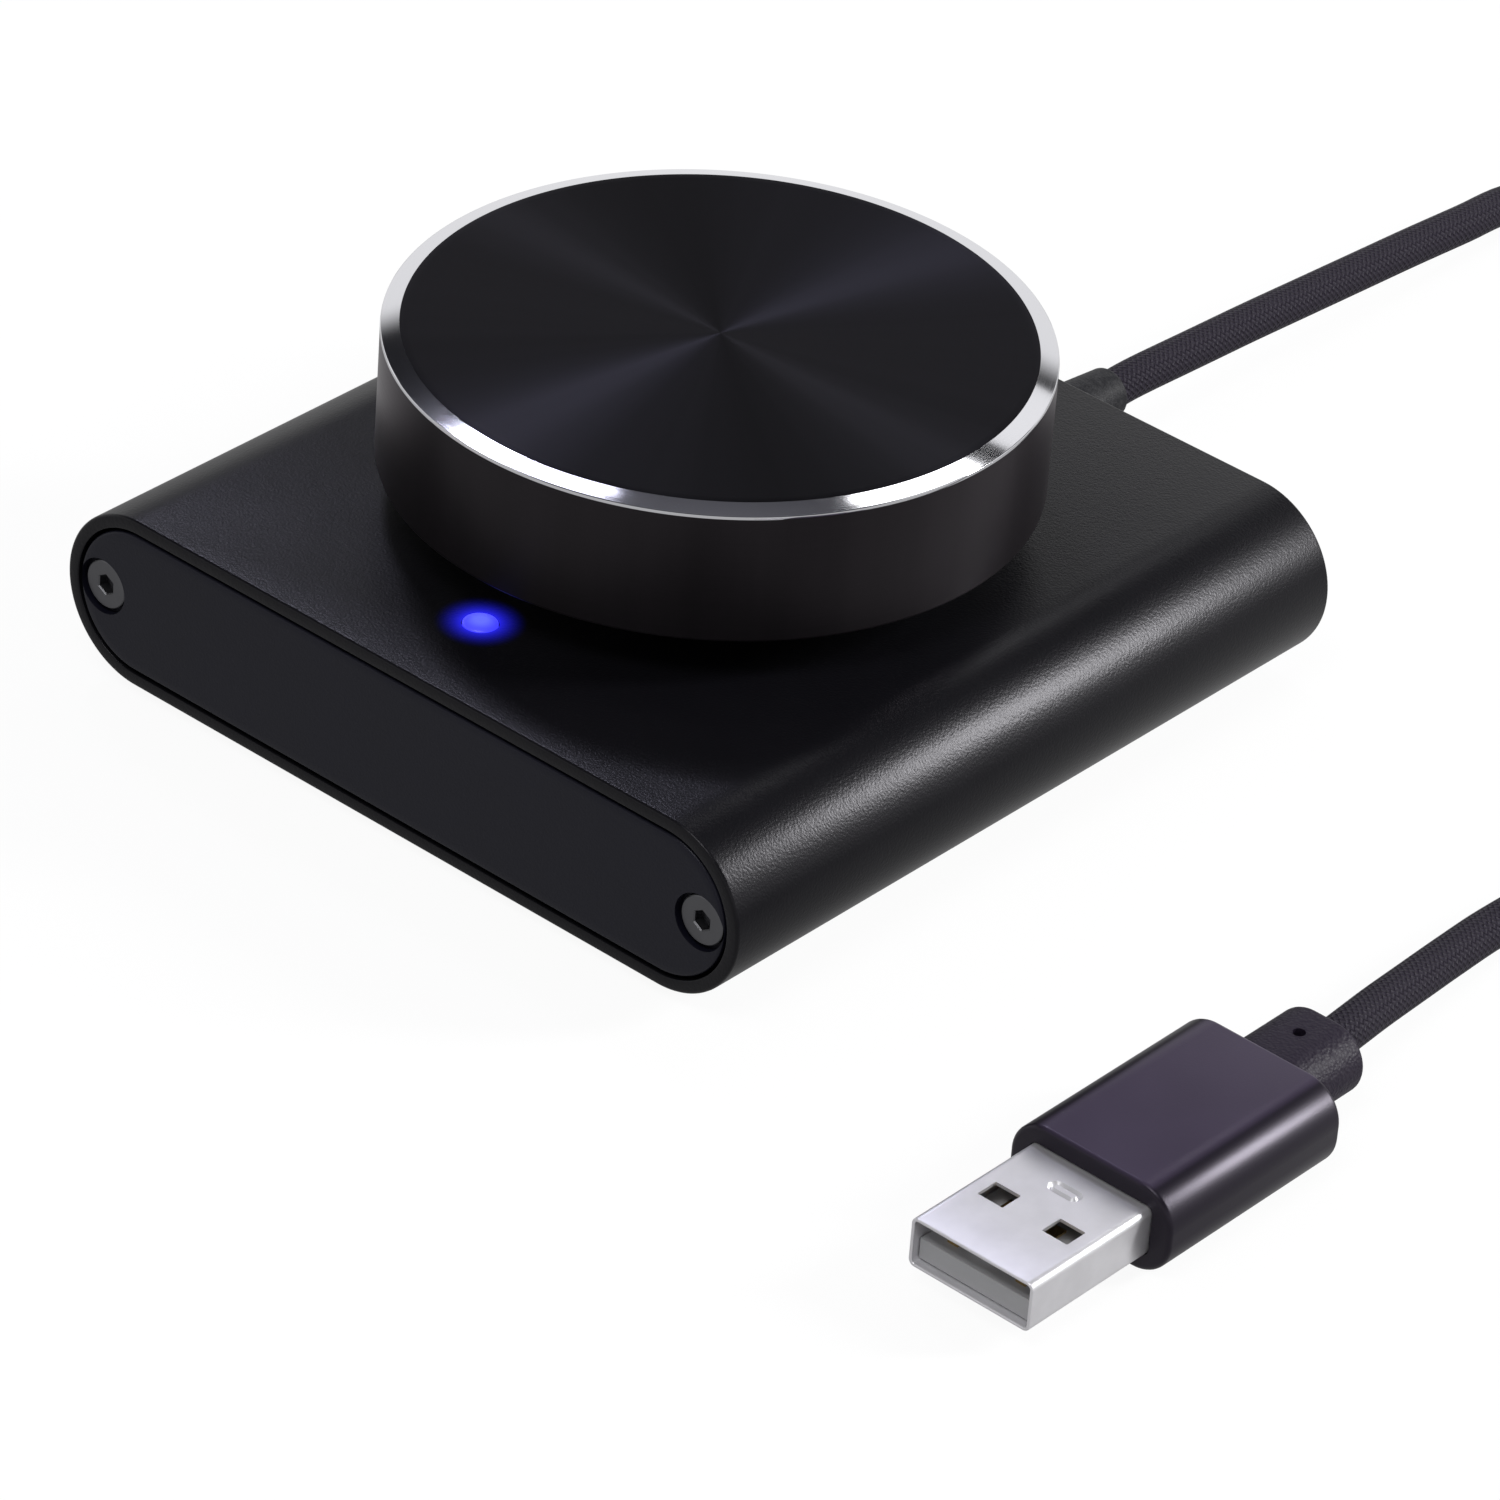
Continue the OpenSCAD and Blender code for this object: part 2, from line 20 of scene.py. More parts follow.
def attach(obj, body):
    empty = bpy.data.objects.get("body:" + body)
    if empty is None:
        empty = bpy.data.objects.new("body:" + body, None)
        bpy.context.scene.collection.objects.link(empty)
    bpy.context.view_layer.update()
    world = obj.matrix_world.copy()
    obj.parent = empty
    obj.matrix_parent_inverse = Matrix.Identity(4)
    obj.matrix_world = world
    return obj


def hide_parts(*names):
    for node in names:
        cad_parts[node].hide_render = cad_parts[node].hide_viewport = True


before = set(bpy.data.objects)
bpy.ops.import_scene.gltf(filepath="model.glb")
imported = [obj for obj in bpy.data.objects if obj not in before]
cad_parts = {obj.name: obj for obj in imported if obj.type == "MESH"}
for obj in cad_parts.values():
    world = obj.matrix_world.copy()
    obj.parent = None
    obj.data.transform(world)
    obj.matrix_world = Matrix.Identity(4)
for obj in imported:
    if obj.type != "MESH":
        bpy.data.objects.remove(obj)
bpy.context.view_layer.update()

MM = 0.001
TURN = 2 * math.pi
SIDES = (-1, 1)
BLACK, WHITE = (0.0, 0.0, 0.0), (1.0, 1.0, 1.0)
Array = np.ndarray
Pair = Tuple[float, float]
Triple = Tuple[float, float, float]
Inputs = Dict[Union[int, str], Any]
Settings = Dict[str, Any]
log = logging.getLogger("knob")


class Body(Enum):
    """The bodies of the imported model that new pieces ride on."""

    BASE = "base"
    DIAL = "dial"


class Axis(Enum):
    """The axis that a turned piece is turned about."""

    UP = "z"
    BACK = "y"


# ---- shader nodes


class Value:
    """A number that varies over a surface. Arithmetic on it adds Math nodes."""

    def __init__(self, book: "NodeBook", socket: Any) -> None:
        """Wraps one output socket of a node tree."""
        self.book = book
        self.socket = socket

    def math(self, operation: str, *others: Any) -> "Value":
        """One Math node with this value first."""
        return self.book.math(operation, self, *others)

    def __add__(self, other: Any) -> "Value":
        """Sum."""
        return self.math("ADD", other)

    __radd__ = __add__

    def __mul__(self, other: Any) -> "Value":
        """Product."""
        return self.math("MULTIPLY", other)

    __rmul__ = __mul__

    def __sub__(self, other: Any) -> "Value":
        """Difference."""
        return self.math("SUBTRACT", other)

    def __rsub__(self, other: Any) -> "Value":
        """Difference with this value second."""
        return self.book.math("SUBTRACT", other, self)

    def __truediv__(self, other: Any) -> "Value":
        """Quotient."""
        return self.math("DIVIDE", other)

    def __rtruediv__(self, other: Any) -> "Value":
        """Quotient with this value second."""
        return self.book.math("DIVIDE", other, self)

    def __pow__(self, other: Any) -> "Value":
        """Power."""
        return self.math("POWER", other)

    def __rpow__(self, other: Any) -> "Value":
        """Power with this value as the exponent."""
        return self.book.math("POWER", other, self)

    def __gt__(self, other: Any) -> "Value":
        """One where this value is the larger, else zero."""
        return self.math("GREATER_THAN", other)

    def clamped(self) -> "Value":
        """This value kept between 0 and 1."""
        return self.math("MINIMUM", 1.0).math("MAXIMUM", 0.0)

    def step(self, low: float, high: float) -> "Value":
        """A soft step: 0 up to low, 1 from high on, and a smooth S between them.

        Args:
            low: Where the step starts.
            high: Where it ends.

        Returns:
            The step.
        """
        ends = {"Value": self, "From Min": low, "From Max": high}
        soft = {"interpolation_type": "SMOOTHSTEP"}
        return self.book.number("MapRange", soft, ends, "Result")


class NodeBook:
    """Builds one node tree."""

    def __init__(self, tree: Any) -> None:
        """Empties the tree."""
        self.tree = tree
        tree.nodes.clear()

    def add(self, kind: str, settings: Settings, inputs: Inputs) -> Any:
        """Adds one node: its settings first, then the values or links of its sockets.

        Args:
            kind: The node's type, after "ShaderNode".
            settings: Properties by name.
            inputs: Numbers, colours, values or sockets by input.

        Returns:
            The node's outputs.
        """
        node = self.tree.nodes.new("ShaderNode" + kind)
        for name, setting in settings.items():
            setattr(node, name, setting)
        for key, given in inputs.items():
            source = given.socket if isinstance(given, Value) else given
            if isinstance(source, bpy.types.NodeSocket):
                self.tree.links.new(source, node.inputs[key])
            else:
                node.inputs[key].default_value = source
        return node.outputs

    def number(self, kind: str, settings: Settings, inputs: Inputs, out: Any = 0) -> Value:
        """One output of a new node, as a number for arithmetic."""
        return Value(self, self.add(kind, settings, inputs)[out])

    def math(self, operation: str, *inputs: Any) -> Value:
        """The result of one Math node."""
        return self.number("Math", {"operation": operation}, dict(enumerate(inputs)))

    def vector(self, operation: str, *inputs: Any) -> Any:
        """The result of one Vector Math node."""
        settings = {"operation": operation}
        return self.add("VectorMath", settings, dict(enumerate(inputs)))[0]

    def place(self) -> Any:
        """The place on the object, in metres."""
        return self.add("TexCoord", {}, {})["Object"]

    def parts(self, vector: Any) -> Tuple[Value, Value, Value]:
        """The three numbers of a vector."""
        split = self.add("SeparateXYZ", {}, {0: vector})
        return Value(self, split[0]), Value(self, split[1]), Value(self, split[2])

    def height(self, place: Any) -> Value:
        """Height in millimetres above the frame's origin."""
        return self.parts(place)[2] / MM

    def away(self, place: Any, y_mm: float = 0.0) -> Value:
        """Distance from an upright axis: the root of the sum of x and y squared.

        Args:
            place: The place on the object, in metres.
            y_mm: The axis's Y in millimetres.

        Returns:
            The distance in metres.
        """
        x, y, _ = self.parts(place)
        back = y - y_mm * MM
        return (x * x + back * back).math("SQRT")

    def noise(self, vector: Any, size_mm: float, detail: float = 2.0) -> Value:
        """Noise from 0 to 1 in clouds of a size, with finer octaves."""
        inputs = {"Vector": vector, "Scale": 1 / (size_mm * MM), "Detail": detail}
        return self.number("TexNoise", {}, inputs)

    def tool_lines(self, along: Value, size_mm: float, detail: float) -> Value:
        """Noise from 0 to 1 that changes along one distance only, as a tool's marks do."""
        inputs = {"W": along / (size_mm * MM), "Scale": 1.0, "Detail": detail}
        return self.number("TexNoise", {"noise_dimensions": "1D"}, inputs)

    def blend(self, factor: Any, first: Any, second: Any) -> Any:
        """A colour between two, by a factor."""
        both = {6: rgba(first), 7: rgba(second), 0: factor}
        return self.add("Mix", {"data_type": "RGBA"}, both)[2]

    def bump(self, height: Value, depth_mm: float) -> Any:
        """A surface normal from a height between 0 and 1 that is so many millimetres deep."""
        inputs = {"Height": height, "Distance": depth_mm * MM, "Strength": 1.0}
        return self.add("Bump", {}, inputs)[0]

    def mixed_shader(self, factor: Any, first: Any, second: Any) -> Any:
        """A shader between two, by a factor."""
        return self.add("MixShader", {}, {0: factor, 1: first[0], 2: second[0]})


def rgba(colour: Any) -> Any:
    """A colour with its fourth number, or a socket as it is."""
    return (*colour, 1.0) if isinstance(colour, tuple) else colour


# ---- finishes


@dataclass(frozen=True)
class Finish:
    """A finish: constants go straight on the shader, detail() adds what varies.

    Its finest marks have the size grain_mm and the depth depth_mm, and its slow clouds the size
    cloud_mm. The roughness varies by spread, and the colour between the two factors of dye.
    """

    colour: Triple
    roughness: float
    metallic: float = 0.0
    specular: float = 0.5
    anisotropy: float = 0.0
    turn: float = 0.0
    edge: Triple = WHITE
    grain_mm: float = 0.15
    cloud_mm: float = 3.0
    depth_mm: float = 0.002
    spread: float = 0.1
    tones: Pair = (1.0, 1.0)

    def material(self, name: str) -> Any:
        """Builds the material.

        Args:
            name: The material's name.

        Returns:
            The material.
        """
        made = bpy.data.materials.new(name)
        made.use_nodes = True
        book = NodeBook(made.node_tree)
        inputs = {
            "Base Color": rgba(self.colour),
            "Roughness": self.roughness,
            "Metallic": self.metallic,
            "Specular IOR Level": self.specular,
            "Specular Tint": rgba(self.edge),
            "Anisotropic": self.anisotropy,
            "Anisotropic Rotation": self.turn,
            **self.detail(book),
        }
        shader = book.add("BsdfPrincipled", {}, inputs)
        book.add("OutputMaterial", {}, {0: shader[0]})
        return made

    def detail(self, book: NodeBook) -> Inputs:
        """What varies over the surface.

        Args:
            book: The tree that the nodes go into.

        Returns:
            Values and sockets by the shader's input.
        """
        raise NotImplementedError

    def times(self, factor: float) -> Triple:
        """The colour made paler or darker."""
        return tuple(factor * c for c in self.colour)

    def tone(self, book: NodeBook, factor: Any) -> Any:
        """The colour between its two tones, by a factor."""
        return book.blend(factor, *(self.times(tones) for tones in self.tones))

    def gloss(self, noise: Value, middle: float = 0.5) -> Value:
        """The roughness, varied by a noise about its middle."""
        return (noise - middle) * self.spread + self.roughness


@dataclass(frozen=True)
class BlastedAnodise(Finish):
    """Black anodising on bead-blasted aluminium: an even pearl of tiny dents.

    With a band of the rounded sides given, as a middle height and two distances from it in
    millimetres, the colour is paler on the flat faces and darker between them, on the rounded
    sides, as painted shade. With glow_y given, a halo of the light there is painted as emission
    on the faces above glow_above.
    """

    grain_mm: float = 0.2
    cloud_mm: float = 9.0
    depth_mm: float = 0.014
    spread: float = 0.05
    tones: Pair = (1.0, 1.5)
    fine: float = 0.7
    coarser: float = 2.3
    glow_y: Optional[float] = None
    glow: Triple = (0.02, 0.02, 0.9)
    glow_from: float = 1.4
    glow_width: float = 2.6
    glow_power: float = 2.6
    glow_above: Pair = (16.6, 16.9)
    shaded_flank: Optional[Triple] = None
    flank_shade: float = 0.25

    def detail(self, book: NodeBook) -> Inputs:
        """Dents from two sizes of noise, a faint cloud in the colour, painted shade on the
        rounded sides, and the light's glow painted as emission.

        Args:
            book: The tree that the nodes go into.

        Returns:
            Values and sockets by the shader's input.
        """
        place = book.place()
        dents = book.noise(place, self.grain_mm, 1.0) * self.fine
        coarse = book.noise(place, self.grain_mm * self.coarser, 1.0)
        dents = dents + coarse * (1 - self.fine)
        cloud = book.noise(place, self.cloud_mm, 3.0)
        tone = self.tone(book, cloud)
        # Painted shade: the rounded sides are darker than the flat faces.
        if self.shaded_flank is not None:
            middle, low, high = self.shaded_flank
            rise = (book.height(place) - middle).math("ABSOLUTE")
            tone = book.blend(rise.step(low, high), self.times(self.flank_shade), tone)
        made = {
            "Base Color": tone,
            "Roughness": self.gloss(cloud),
            "Normal": book.bump(dents, self.depth_mm),
        }
        # Painted light: the lens's blue halo on the housing's top, as emission.
        if self.glow_y is not None:
            away = book.away(place, self.glow_y) / MM
            fall = (away - self.glow_from) / self.glow_width
            halo = (1 - fall).clamped() ** self.glow_power
            top = book.height(place).step(*self.glow_above)
            made["Emission Color"] = book.blend(halo * top, BLACK, self.glow)
            made["Emission Strength"] = 1.0
        return made


@dataclass(frozen=True)
class TurnedAnodise(Finish):
    """Black anodising on fine circular tool marks about the dial's axis."""

    grain_mm: float = 0.16
    depth_mm: float = 0.0012
    spread: float = 0.08
    tones: Pair = (0.72, 1.35)
    ray_scale: float = 9.0
    ray_share: float = 0.9
    ring_share: float = 0.35
    upright: bool = False

    def detail(self, book: NodeBook) -> Inputs:
        """Grooves by radius or height, and rays of slightly paler dye by direction.

        Args:
            book: The tree that the nodes go into.

        Returns:
            Values and sockets by the shader's input.
        """
        place = book.place()
        along = book.parts(place)[2] if self.upright else book.away(place)
        rings = book.tool_lines(along, self.grain_mm, 3.0)
        ray = book.vector("NORMALIZE", book.vector("MULTIPLY", place, (1.0, 1.0, 0.0)))
        inputs = {"Vector": ray, "Scale": self.ray_scale, "Detail": 6.0}
        rays = book.number("TexNoise", {}, inputs)
        shine = (rays - 0.5) * self.ray_share + (rings - 0.5) * self.ring_share + 0.5
        return {
            "Base Color": self.tone(book, shine.clamped()),
            "Roughness": self.gloss(rings),
            "Normal": book.bump(rings, self.depth_mm),
        }


@dataclass(frozen=True)
class DiamondCut(Finish):
    """Bare aluminium cut bright with a diamond tool: faint tool lines in a mirror."""

    grain_mm: float = 0.08
    depth_mm: float = 0.0004
    spread: float = 0.06

    def detail(self, book: NodeBook) -> Inputs:
        """Hair-fine lines round the bevel."""
        lines = book.tool_lines(book.away(book.place()), self.grain_mm, 2.0)
        return {"Roughness": self.gloss(lines), "Normal": book.bump(lines, self.depth_mm)}


@dataclass(frozen=True)
class MachinedSteel(Finish):
    """Steel with the fine scratches and stains of a small machined part."""

    grain_mm: float = 0.12
    cloud_mm: float = 2.5
    depth_mm: float = 0.0015
    spread: float = 0.16
    tones: Pair = (0.8, 1.0)
    scratch: Triple = (1.0, 1.0, 0.12)

    def detail(self, book: NodeBook) -> Inputs:
        """Scratches from stretched noise and a faint cloud of stain.

        Args:
            book: The tree that the nodes go into.

        Returns:
            Values and sockets by the shader's input.
        """
        place = book.place()
        stretched = book.vector("MULTIPLY", place, self.scratch)
        lines = book.noise(stretched, self.grain_mm, 3.0)
        return {
            "Base Color": self.tone(book, book.noise(place, self.cloud_mm)),
            "Roughness": self.gloss(lines),
            "Normal": book.bump(lines, self.depth_mm),
        }


@dataclass(frozen=True)
class MouldedRubber(Finish):
    """Soft black rubber with a fine spark-eroded grain."""

    grain_mm: float = 0.18
    cloud_mm: float = 0.5
    depth_mm: float = 0.02
    spread: float = 0.15
    dust: float = 0.03
    dust_from: float = 0.45

    def detail(self, book: NodeBook) -> Inputs:
        """Pebbled grain and a little dust in its hollows.

        Args:
            book: The tree that the nodes go into.

        Returns:
            Values and sockets by the shader's input.
        """
        place = book.place()
        inputs = {"Vector": place, "Scale": 1 / (self.grain_mm * MM)}
        cells = book.number("TexVoronoi", {}, inputs, "Distance")
        dust = (book.noise(place, self.cloud_mm, 3.0) - self.dust_from).clamped() * cells
        pale = tuple(c + self.dust for c in self.colour)
        return {
            "Base Color": book.blend(dust * 3.0, self.colour, pale),
            "Roughness": self.gloss(cells, 0.4),
            "Normal": book.bump(cells, self.depth_mm),
        }


@dataclass(frozen=True)
class MouldedPlastic(Finish):
    """Moulded plastic with a faint flow cloud and fine grain."""

    spread: float = 0.12
    tones: Pair = (1.0, 1.15)
    haze: float = 0.004

    def detail(self, book: NodeBook) -> Inputs:
        """Slow cloud in the colour and grain in the gloss.

        Args:
            book: The tree that the nodes go into.

        Returns:
            Values and sockets by the shader's input.
        """
        place = book.place()
        cloud = book.noise(place, self.cloud_mm)
        grain = book.noise(place, self.grain_mm)
        pale = tuple(min(1.0, c + self.haze) for c in self.times(self.tones[1]))
        return {
            "Base Color": book.blend(cloud, self.colour, pale),
            "Roughness": self.gloss(grain),
            "Normal": book.bump(grain, self.depth_mm),
        }


@dataclass(frozen=True)
class HookupWire(Finish):
    """The coloured insulation of four wires that run side by side and then two above two.

    An outer wire starts far from the middle and then rises as it comes nearer, so its
    distance from the middle and twice its rise add up to more than 2.5 mm all along.
    """

    red: Triple = (0.4, 0.02, 0.02)
    white: Triple = (0.7, 0.7, 0.68)
    green: Triple = (0.02, 0.2, 0.06)
    black: Triple = (0.015, 0.015, 0.015)
    start_z: float = 4.9
    outer_from: float = 2.5

    def detail(self, book: NodeBook) -> Inputs:
        """A colour by side, and by whether the wire is an outer one.

        Args:
            book: The tree that the nodes go into.

        Returns:
            Values and sockets by the shader's input.
        """
        place = book.place()
        x, _, z = book.parts(place)
        outer = x.math("ABSOLUTE") / MM + (z / MM - self.start_z) * 2.0 > self.outer_from
        left = book.blend(outer, self.white, self.red)
        right = book.blend(outer, self.green, self.black)
        return {
            "Base Color": book.blend(x > 0.0, left, right),
            "Roughness": self.gloss(book.noise(place, self.grain_mm)),
        }


@dataclass(frozen=True)
class BraidedNylon(Finish):
    """A woven nylon sleeve. The UV map's first number runs along the lead and its second
    round it, both in circumferences."""

    grain_mm: float = 0.08
    depth_mm: float = 0.13
    spread: float = 0.2
    # The darker second tone is painted shade in the weave's hollows.
    tones: Pair = (1.0, 0.2)
    strands: int = 18
    dive: float = 0.35
    hollow: float = 0.35
    weave: float = 0.85
    positive: float = 4096.0

    def detail(self, book: NodeBook) -> Inputs:
        """Two families of strands at 45 degrees that pass over and under each other.

        A cell's parity says which family is on top; an even number keeps the second count
        positive. The strand's height falls off across it as a parabola, and more gently along
        it where it dives under the next one.

        Args:
            book: The tree that the nodes go into.

        Returns:
            Values and sockets by the shader's input.
        """
        u, v, _ = book.parts(book.add("UVMap", {"uv_map": "along"}, {})[0])
        first = (u + v) * self.strands
        second = (v - u) * self.strands + self.positive
        parity = (first.math("FLOOR") + second.math("FLOOR")).math("MODULO", 2.0)
        across = (first.math("FRACT") - 0.5) ** 2.0 * 4.0
        along = (second.math("FRACT") - 0.5) ** 2.0 * 4.0
        over = (1 - across) * (1 - along * self.dive)
        under = (1 - along) * (1 - across * self.dive)
        height = over * parity + under * (1 - parity)
        fuzz = book.noise(book.place(), self.grain_mm)
        relief = height * self.weave + fuzz * (1 - self.weave)
        return {
            # Painted shade: the colour darkens where the strands dip into the hollows between
            # them.
            "Base Color": self.tone(book, (self.hollow - height).clamped() * 2.0),
            "Roughness": self.gloss(fuzz),
            "Normal": book.bump(relief, self.depth_mm),
        }


@dataclass(frozen=True)
class PrintedBoard(Finish):
    """Green lacquer over copper tracks."""

    grain_mm: float = 0.8
    cloud_mm: float = 1.2
    depth_mm: float = 0.03
    tones: Pair = (1.0, 2.2)
    lanes: Triple = (1.0, 0.08, 0.0)
    track_from: Pair = (0.5, 0.54)

    def detail(self, book: NodeBook) -> Inputs:
        """Straight tracks where slow stretched noise is high, and a lacquer ripple.

        Args:
            book: The tree that the nodes go into.

        Returns:
            Values and sockets by the shader's input.
        """
        place = book.place()
        lanes = book.noise(book.vector("MULTIPLY", place, self.lanes), self.grain_mm, 0.0)
        track = lanes.step(*self.track_from)
        return {
            "Base Color": self.tone(book, track),
            "Roughness": self.gloss(book.noise(place, self.cloud_mm)),
            "Normal": book.bump(track, self.depth_mm),
        }


@dataclass(frozen=True)
class LitLens(Finish):
    """A blue lens, lit from inside: palest in the middle."""

    glow: Triple = (0.05, 0.05, 1.0)
    core: Triple = (0.13, 0.16, 1.0)
    centre_y: float = 0.0
    reach_mm: float = 1.5
    fall: Pair = (0.2, 1.0)

    def detail(self, book: NodeBook) -> Inputs:
        """Light that falls off from the lens's middle.

        Args:
            book: The tree that the nodes go into.

        Returns:
            Values and sockets by the shader's input.
        """
        away = book.away(book.place(), self.centre_y) / (self.reach_mm * MM)
        return {
            "Emission Color": book.blend(away.step(*self.fall), self.core, self.glow),
            "Emission Strength": 1.0,
            "Roughness": self.gloss(away, 0.0),
        }


# ---- surfaces


def rounded(corners: Sequence[Sequence[float]], radii: Sequence[float], steps: int) -> Array:
    """A profile with each corner replaced by an arc.

    Each arc's centre lies on the corner's bisector, radius / sin(half angle) from it, and the
    arc runs between the two points where it touches the sides.

    Args:
        corners: The profile's corners.
        radii: One radius for each corner, nearly 0 for a sharp one.
        steps: Points on each arc.

    Returns:
        All points in order, corners times steps by 2.
    """
    p = np.asarray(corners, float)
    r = np.maximum(np.asarray(radii, float), 1e-6)[:, None]
    before, after = np.roll(p, 1, 0) - p, np.roll(p, -1, 0) - p
    before /= np.linalg.norm(before, axis=1, keepdims=True)
    after /= np.linalg.norm(after, axis=1, keepdims=True)
    cosine = np.clip((before * after).sum(1, keepdims=True), -0.9999, 0.9999)
    half = np.arccos(cosine) / 2
    middle = before + after
    middle /= np.linalg.norm(middle, axis=1, keepdims=True)
    centre = p + middle * r / np.sin(half)
    start = p + before * r / np.tan(half) - centre
    end = p + after * r / np.tan(half) - centre
    a0 = np.arctan2(start[:, 1], start[:, 0])
    turn = np.arctan2(end[:, 1], end[:, 0]) - a0
    turn = (turn + math.pi) % TURN - math.pi
    angle = a0[:, None] + turn[:, None] * np.linspace(0, 1, steps)
    arc = np.stack([np.cos(angle), np.sin(angle)], 2) * r[:, None] + centre[:, None]
    return arc.reshape(-1, 2)


def wall(start: float, end: float, thick: float, radii: Sequence[float], steps: int) -> Array:
    """The closed section of a tube's wall: a rectangle of the wall's thickness by its length.

    Args:
        start: The wall's first Y.
        end: Its last Y.
        thick: Its thickness.
        radii: The four edges' radii: outer start, outer end, inner end, inner start.
        steps: Points on each edge.

    Returns:
        How far each point is drawn in, and its Y.
    """
    return rounded([(0.0, start), (0.0, end), (thick, end), (thick, start)], radii, steps)


def block(start: float, end: float, inset: float, radii: Pair, steps: int) -> Array:
    """The stations of a solid whose two end edges are quarter circles.

    Args:
        start: The solid's first Y.
        end: Its last Y.
        inset: How far the flat end faces' outline is drawn in.
        radii: The radius of each end's edge.
        steps: Points on each edge.

    Returns:
        How far each station is drawn in, and its Y.
    """
    corners = [(inset, start), (0.0, start), (0.0, end), (inset, end)]
    return rounded(corners, [0.0, *radii, 0.0], steps)


@dataclass
class Skin:
    """A grid of points in millimetres, with which of its sides are joined or capped."""

    points: Array
    loop_rows: bool = False
    capped: bool = False
    paint: int = 0

    def faces(self, first: int) -> List[List[int]]:
        """The faces between neighbouring rows and columns; columns always close.

        Args:
            first: Index of this skin's first vertex.

        Returns:
            Four-cornered faces, and one flat face at each end where it is capped.
        """
        rows, columns = self.points.shape[:2]
        index = first + np.arange(rows * columns).reshape(rows, columns)
        index = np.concatenate([index, index[:, :1]], 1)
        if self.loop_rows:
            index = np.concatenate([index, index[:1]], 0)
        quads = np.stack([index[:-1, :-1], index[:-1, 1:], index[1:, 1:], index[1:, :-1]], 2)
        made = quads.reshape(-1, 4).tolist()
        if self.capped:
            made += [index[0, :-1].tolist(), index[-1, :-1].tolist()]
        return made


def turned(profile: Array, sides: int, axis: Axis = Axis.UP, at: Triple = (0, 0, 0)) -> Array:
    """A profile turned about an axis: radius times cosine and sine of the angle, and height.

    Args:
        profile: Radius and place along the axis, row by row.
        sides: Points round each row.
        axis: The axis.
        at: A point on the axis, added to every point.

    Returns:
        Rows by sides by 3 points.
    """
    angle = np.linspace(0, TURN, sides, endpoint=False)[None]
    radius, along = profile[:, :1], np.repeat(profile[:, 1:], sides, 1)
    across, over = radius * np.cos(angle), radius * np.sin(angle)
    order = [across, over, along] if axis is Axis.UP else [across, along, over]
    return np.stack(order, 2) + np.asarray(at, float)


def drill(radius: float, start: float, end: float, sides: int, axis: Axis, at: Triple) -> Skin:
    """A closed cylinder that cuts a round hole along an axis.

    Args:
        radius: The hole's radius.
        start: Its first place along the axis.
        end: Its last place along the axis.
        sides: Points round it.
        axis: The axis.
        at: A point on the axis.

    Returns:
        The cylinder.
    """
    ends = np.array([[radius, start], [radius, end]])
    return Skin(turned(ends, sides, axis, at), capped=True)


@dataclass
class Outline:
    """A flat outline with round corners: each point is a centre plus a direction times the
    corner's radius, so the outline can be drawn in by taking from the radius."""

    centres: Array
    directions: Array
    radius: float

    def carried(self, stations: Array, at: Triple = (0, 0, 0)) -> Array:
        """The outline carried along Y, drawn in at each station.

        Args:
            stations: How far the outline is drawn in and its Y, row by row.
            at: A point that is added to all.

        Returns:
            Rows by points by 3.
        """
        reach = self.radius - stations[:, 0][:, None, None]
        flat = self.centres[None] + self.directions[None] * reach
        y = np.repeat(stations[:, 1:], flat.shape[1], 1)
        return np.stack([flat[..., 0], y, flat[..., 1]], 2) + np.asarray(at, float)


def round_outline(width: float, height: float, radius: float, steps: int) -> Outline:
    """A rectangle with round corners, with a point close beside each arc on the flats.

    A point is its corner's centre plus the radius times the cosine and sine of an angle that
    runs through one quarter turn a corner. The points beside an arc lie 2% of the flat's
    half length further along the arc's tangent.

    Args:
        width: Size along X.
        height: Size along Z.
        radius: Corner radius; half the height gives a stadium.
        steps: Points on each quarter.

    Returns:
        The outline, against the clock from the lower right.
    """
    quarter = np.linspace(-math.pi / 2, 0, steps)
    angle = quarter[None] + np.arange(4)[:, None] * math.pi / 2
    signs = np.array([[1, -1], [1, 1], [-1, 1], [-1, -1]], float)
    room = np.array([width / 2 - radius, height / 2 - radius])
    corner = signs * room
    directions = np.stack([np.cos(angle), np.sin(angle)], 2)
    centres = np.repeat(corner[:, None], steps, 1)
    lead = np.stack([-directions[:, 0, 1], directions[:, 0, 0]], 1)
    tail = np.stack([-directions[:, -1, 1], directions[:, -1, 0]], 1)
    near = 0.02 * np.where(np.abs(lead) > 0.5, room, 0).max(1, keepdims=True)
    far = 0.02 * np.where(np.abs(tail) > 0.5, room, 0).max(1, keepdims=True)
    beside = (corner - lead * near)[:, None], (corner + tail * far)[:, None]
    centres = np.concatenate([beside[0], centres, beside[1]], 1)
    directions = np.concatenate([directions[:, :1], directions, directions[:, -1:]], 1)
    return Outline(centres.reshape(-1, 2), directions.reshape(-1, 2), radius)


def linked(name: str, data: Any) -> Any:
    """Makes an object and stands it in the scene.

    Args:
        name: The object's name.
        data: Its mesh, camera or lamp.

    Returns:
        The object.
    """
    made = bpy.data.objects.new(name, data)
    bpy.context.scene.collection.objects.link(made)
    return made


def posed(right: Array, up: Array, back: Array, place: Array) -> Matrix:
    """The matrix of a camera or a lamp, whose columns are three directions and a place.

    Args:
        right: The direction of its X axis.
        up: The direction of its Y axis.
        back: The direction of its Z axis, away from what it faces.
        place: Where it stands, in metres.

    Returns:
        The matrix.
    """
    axes = np.eye(4)
    axes[:3] = np.stack([right, up, back, place], 1)
    return Matrix(axes.tolist())


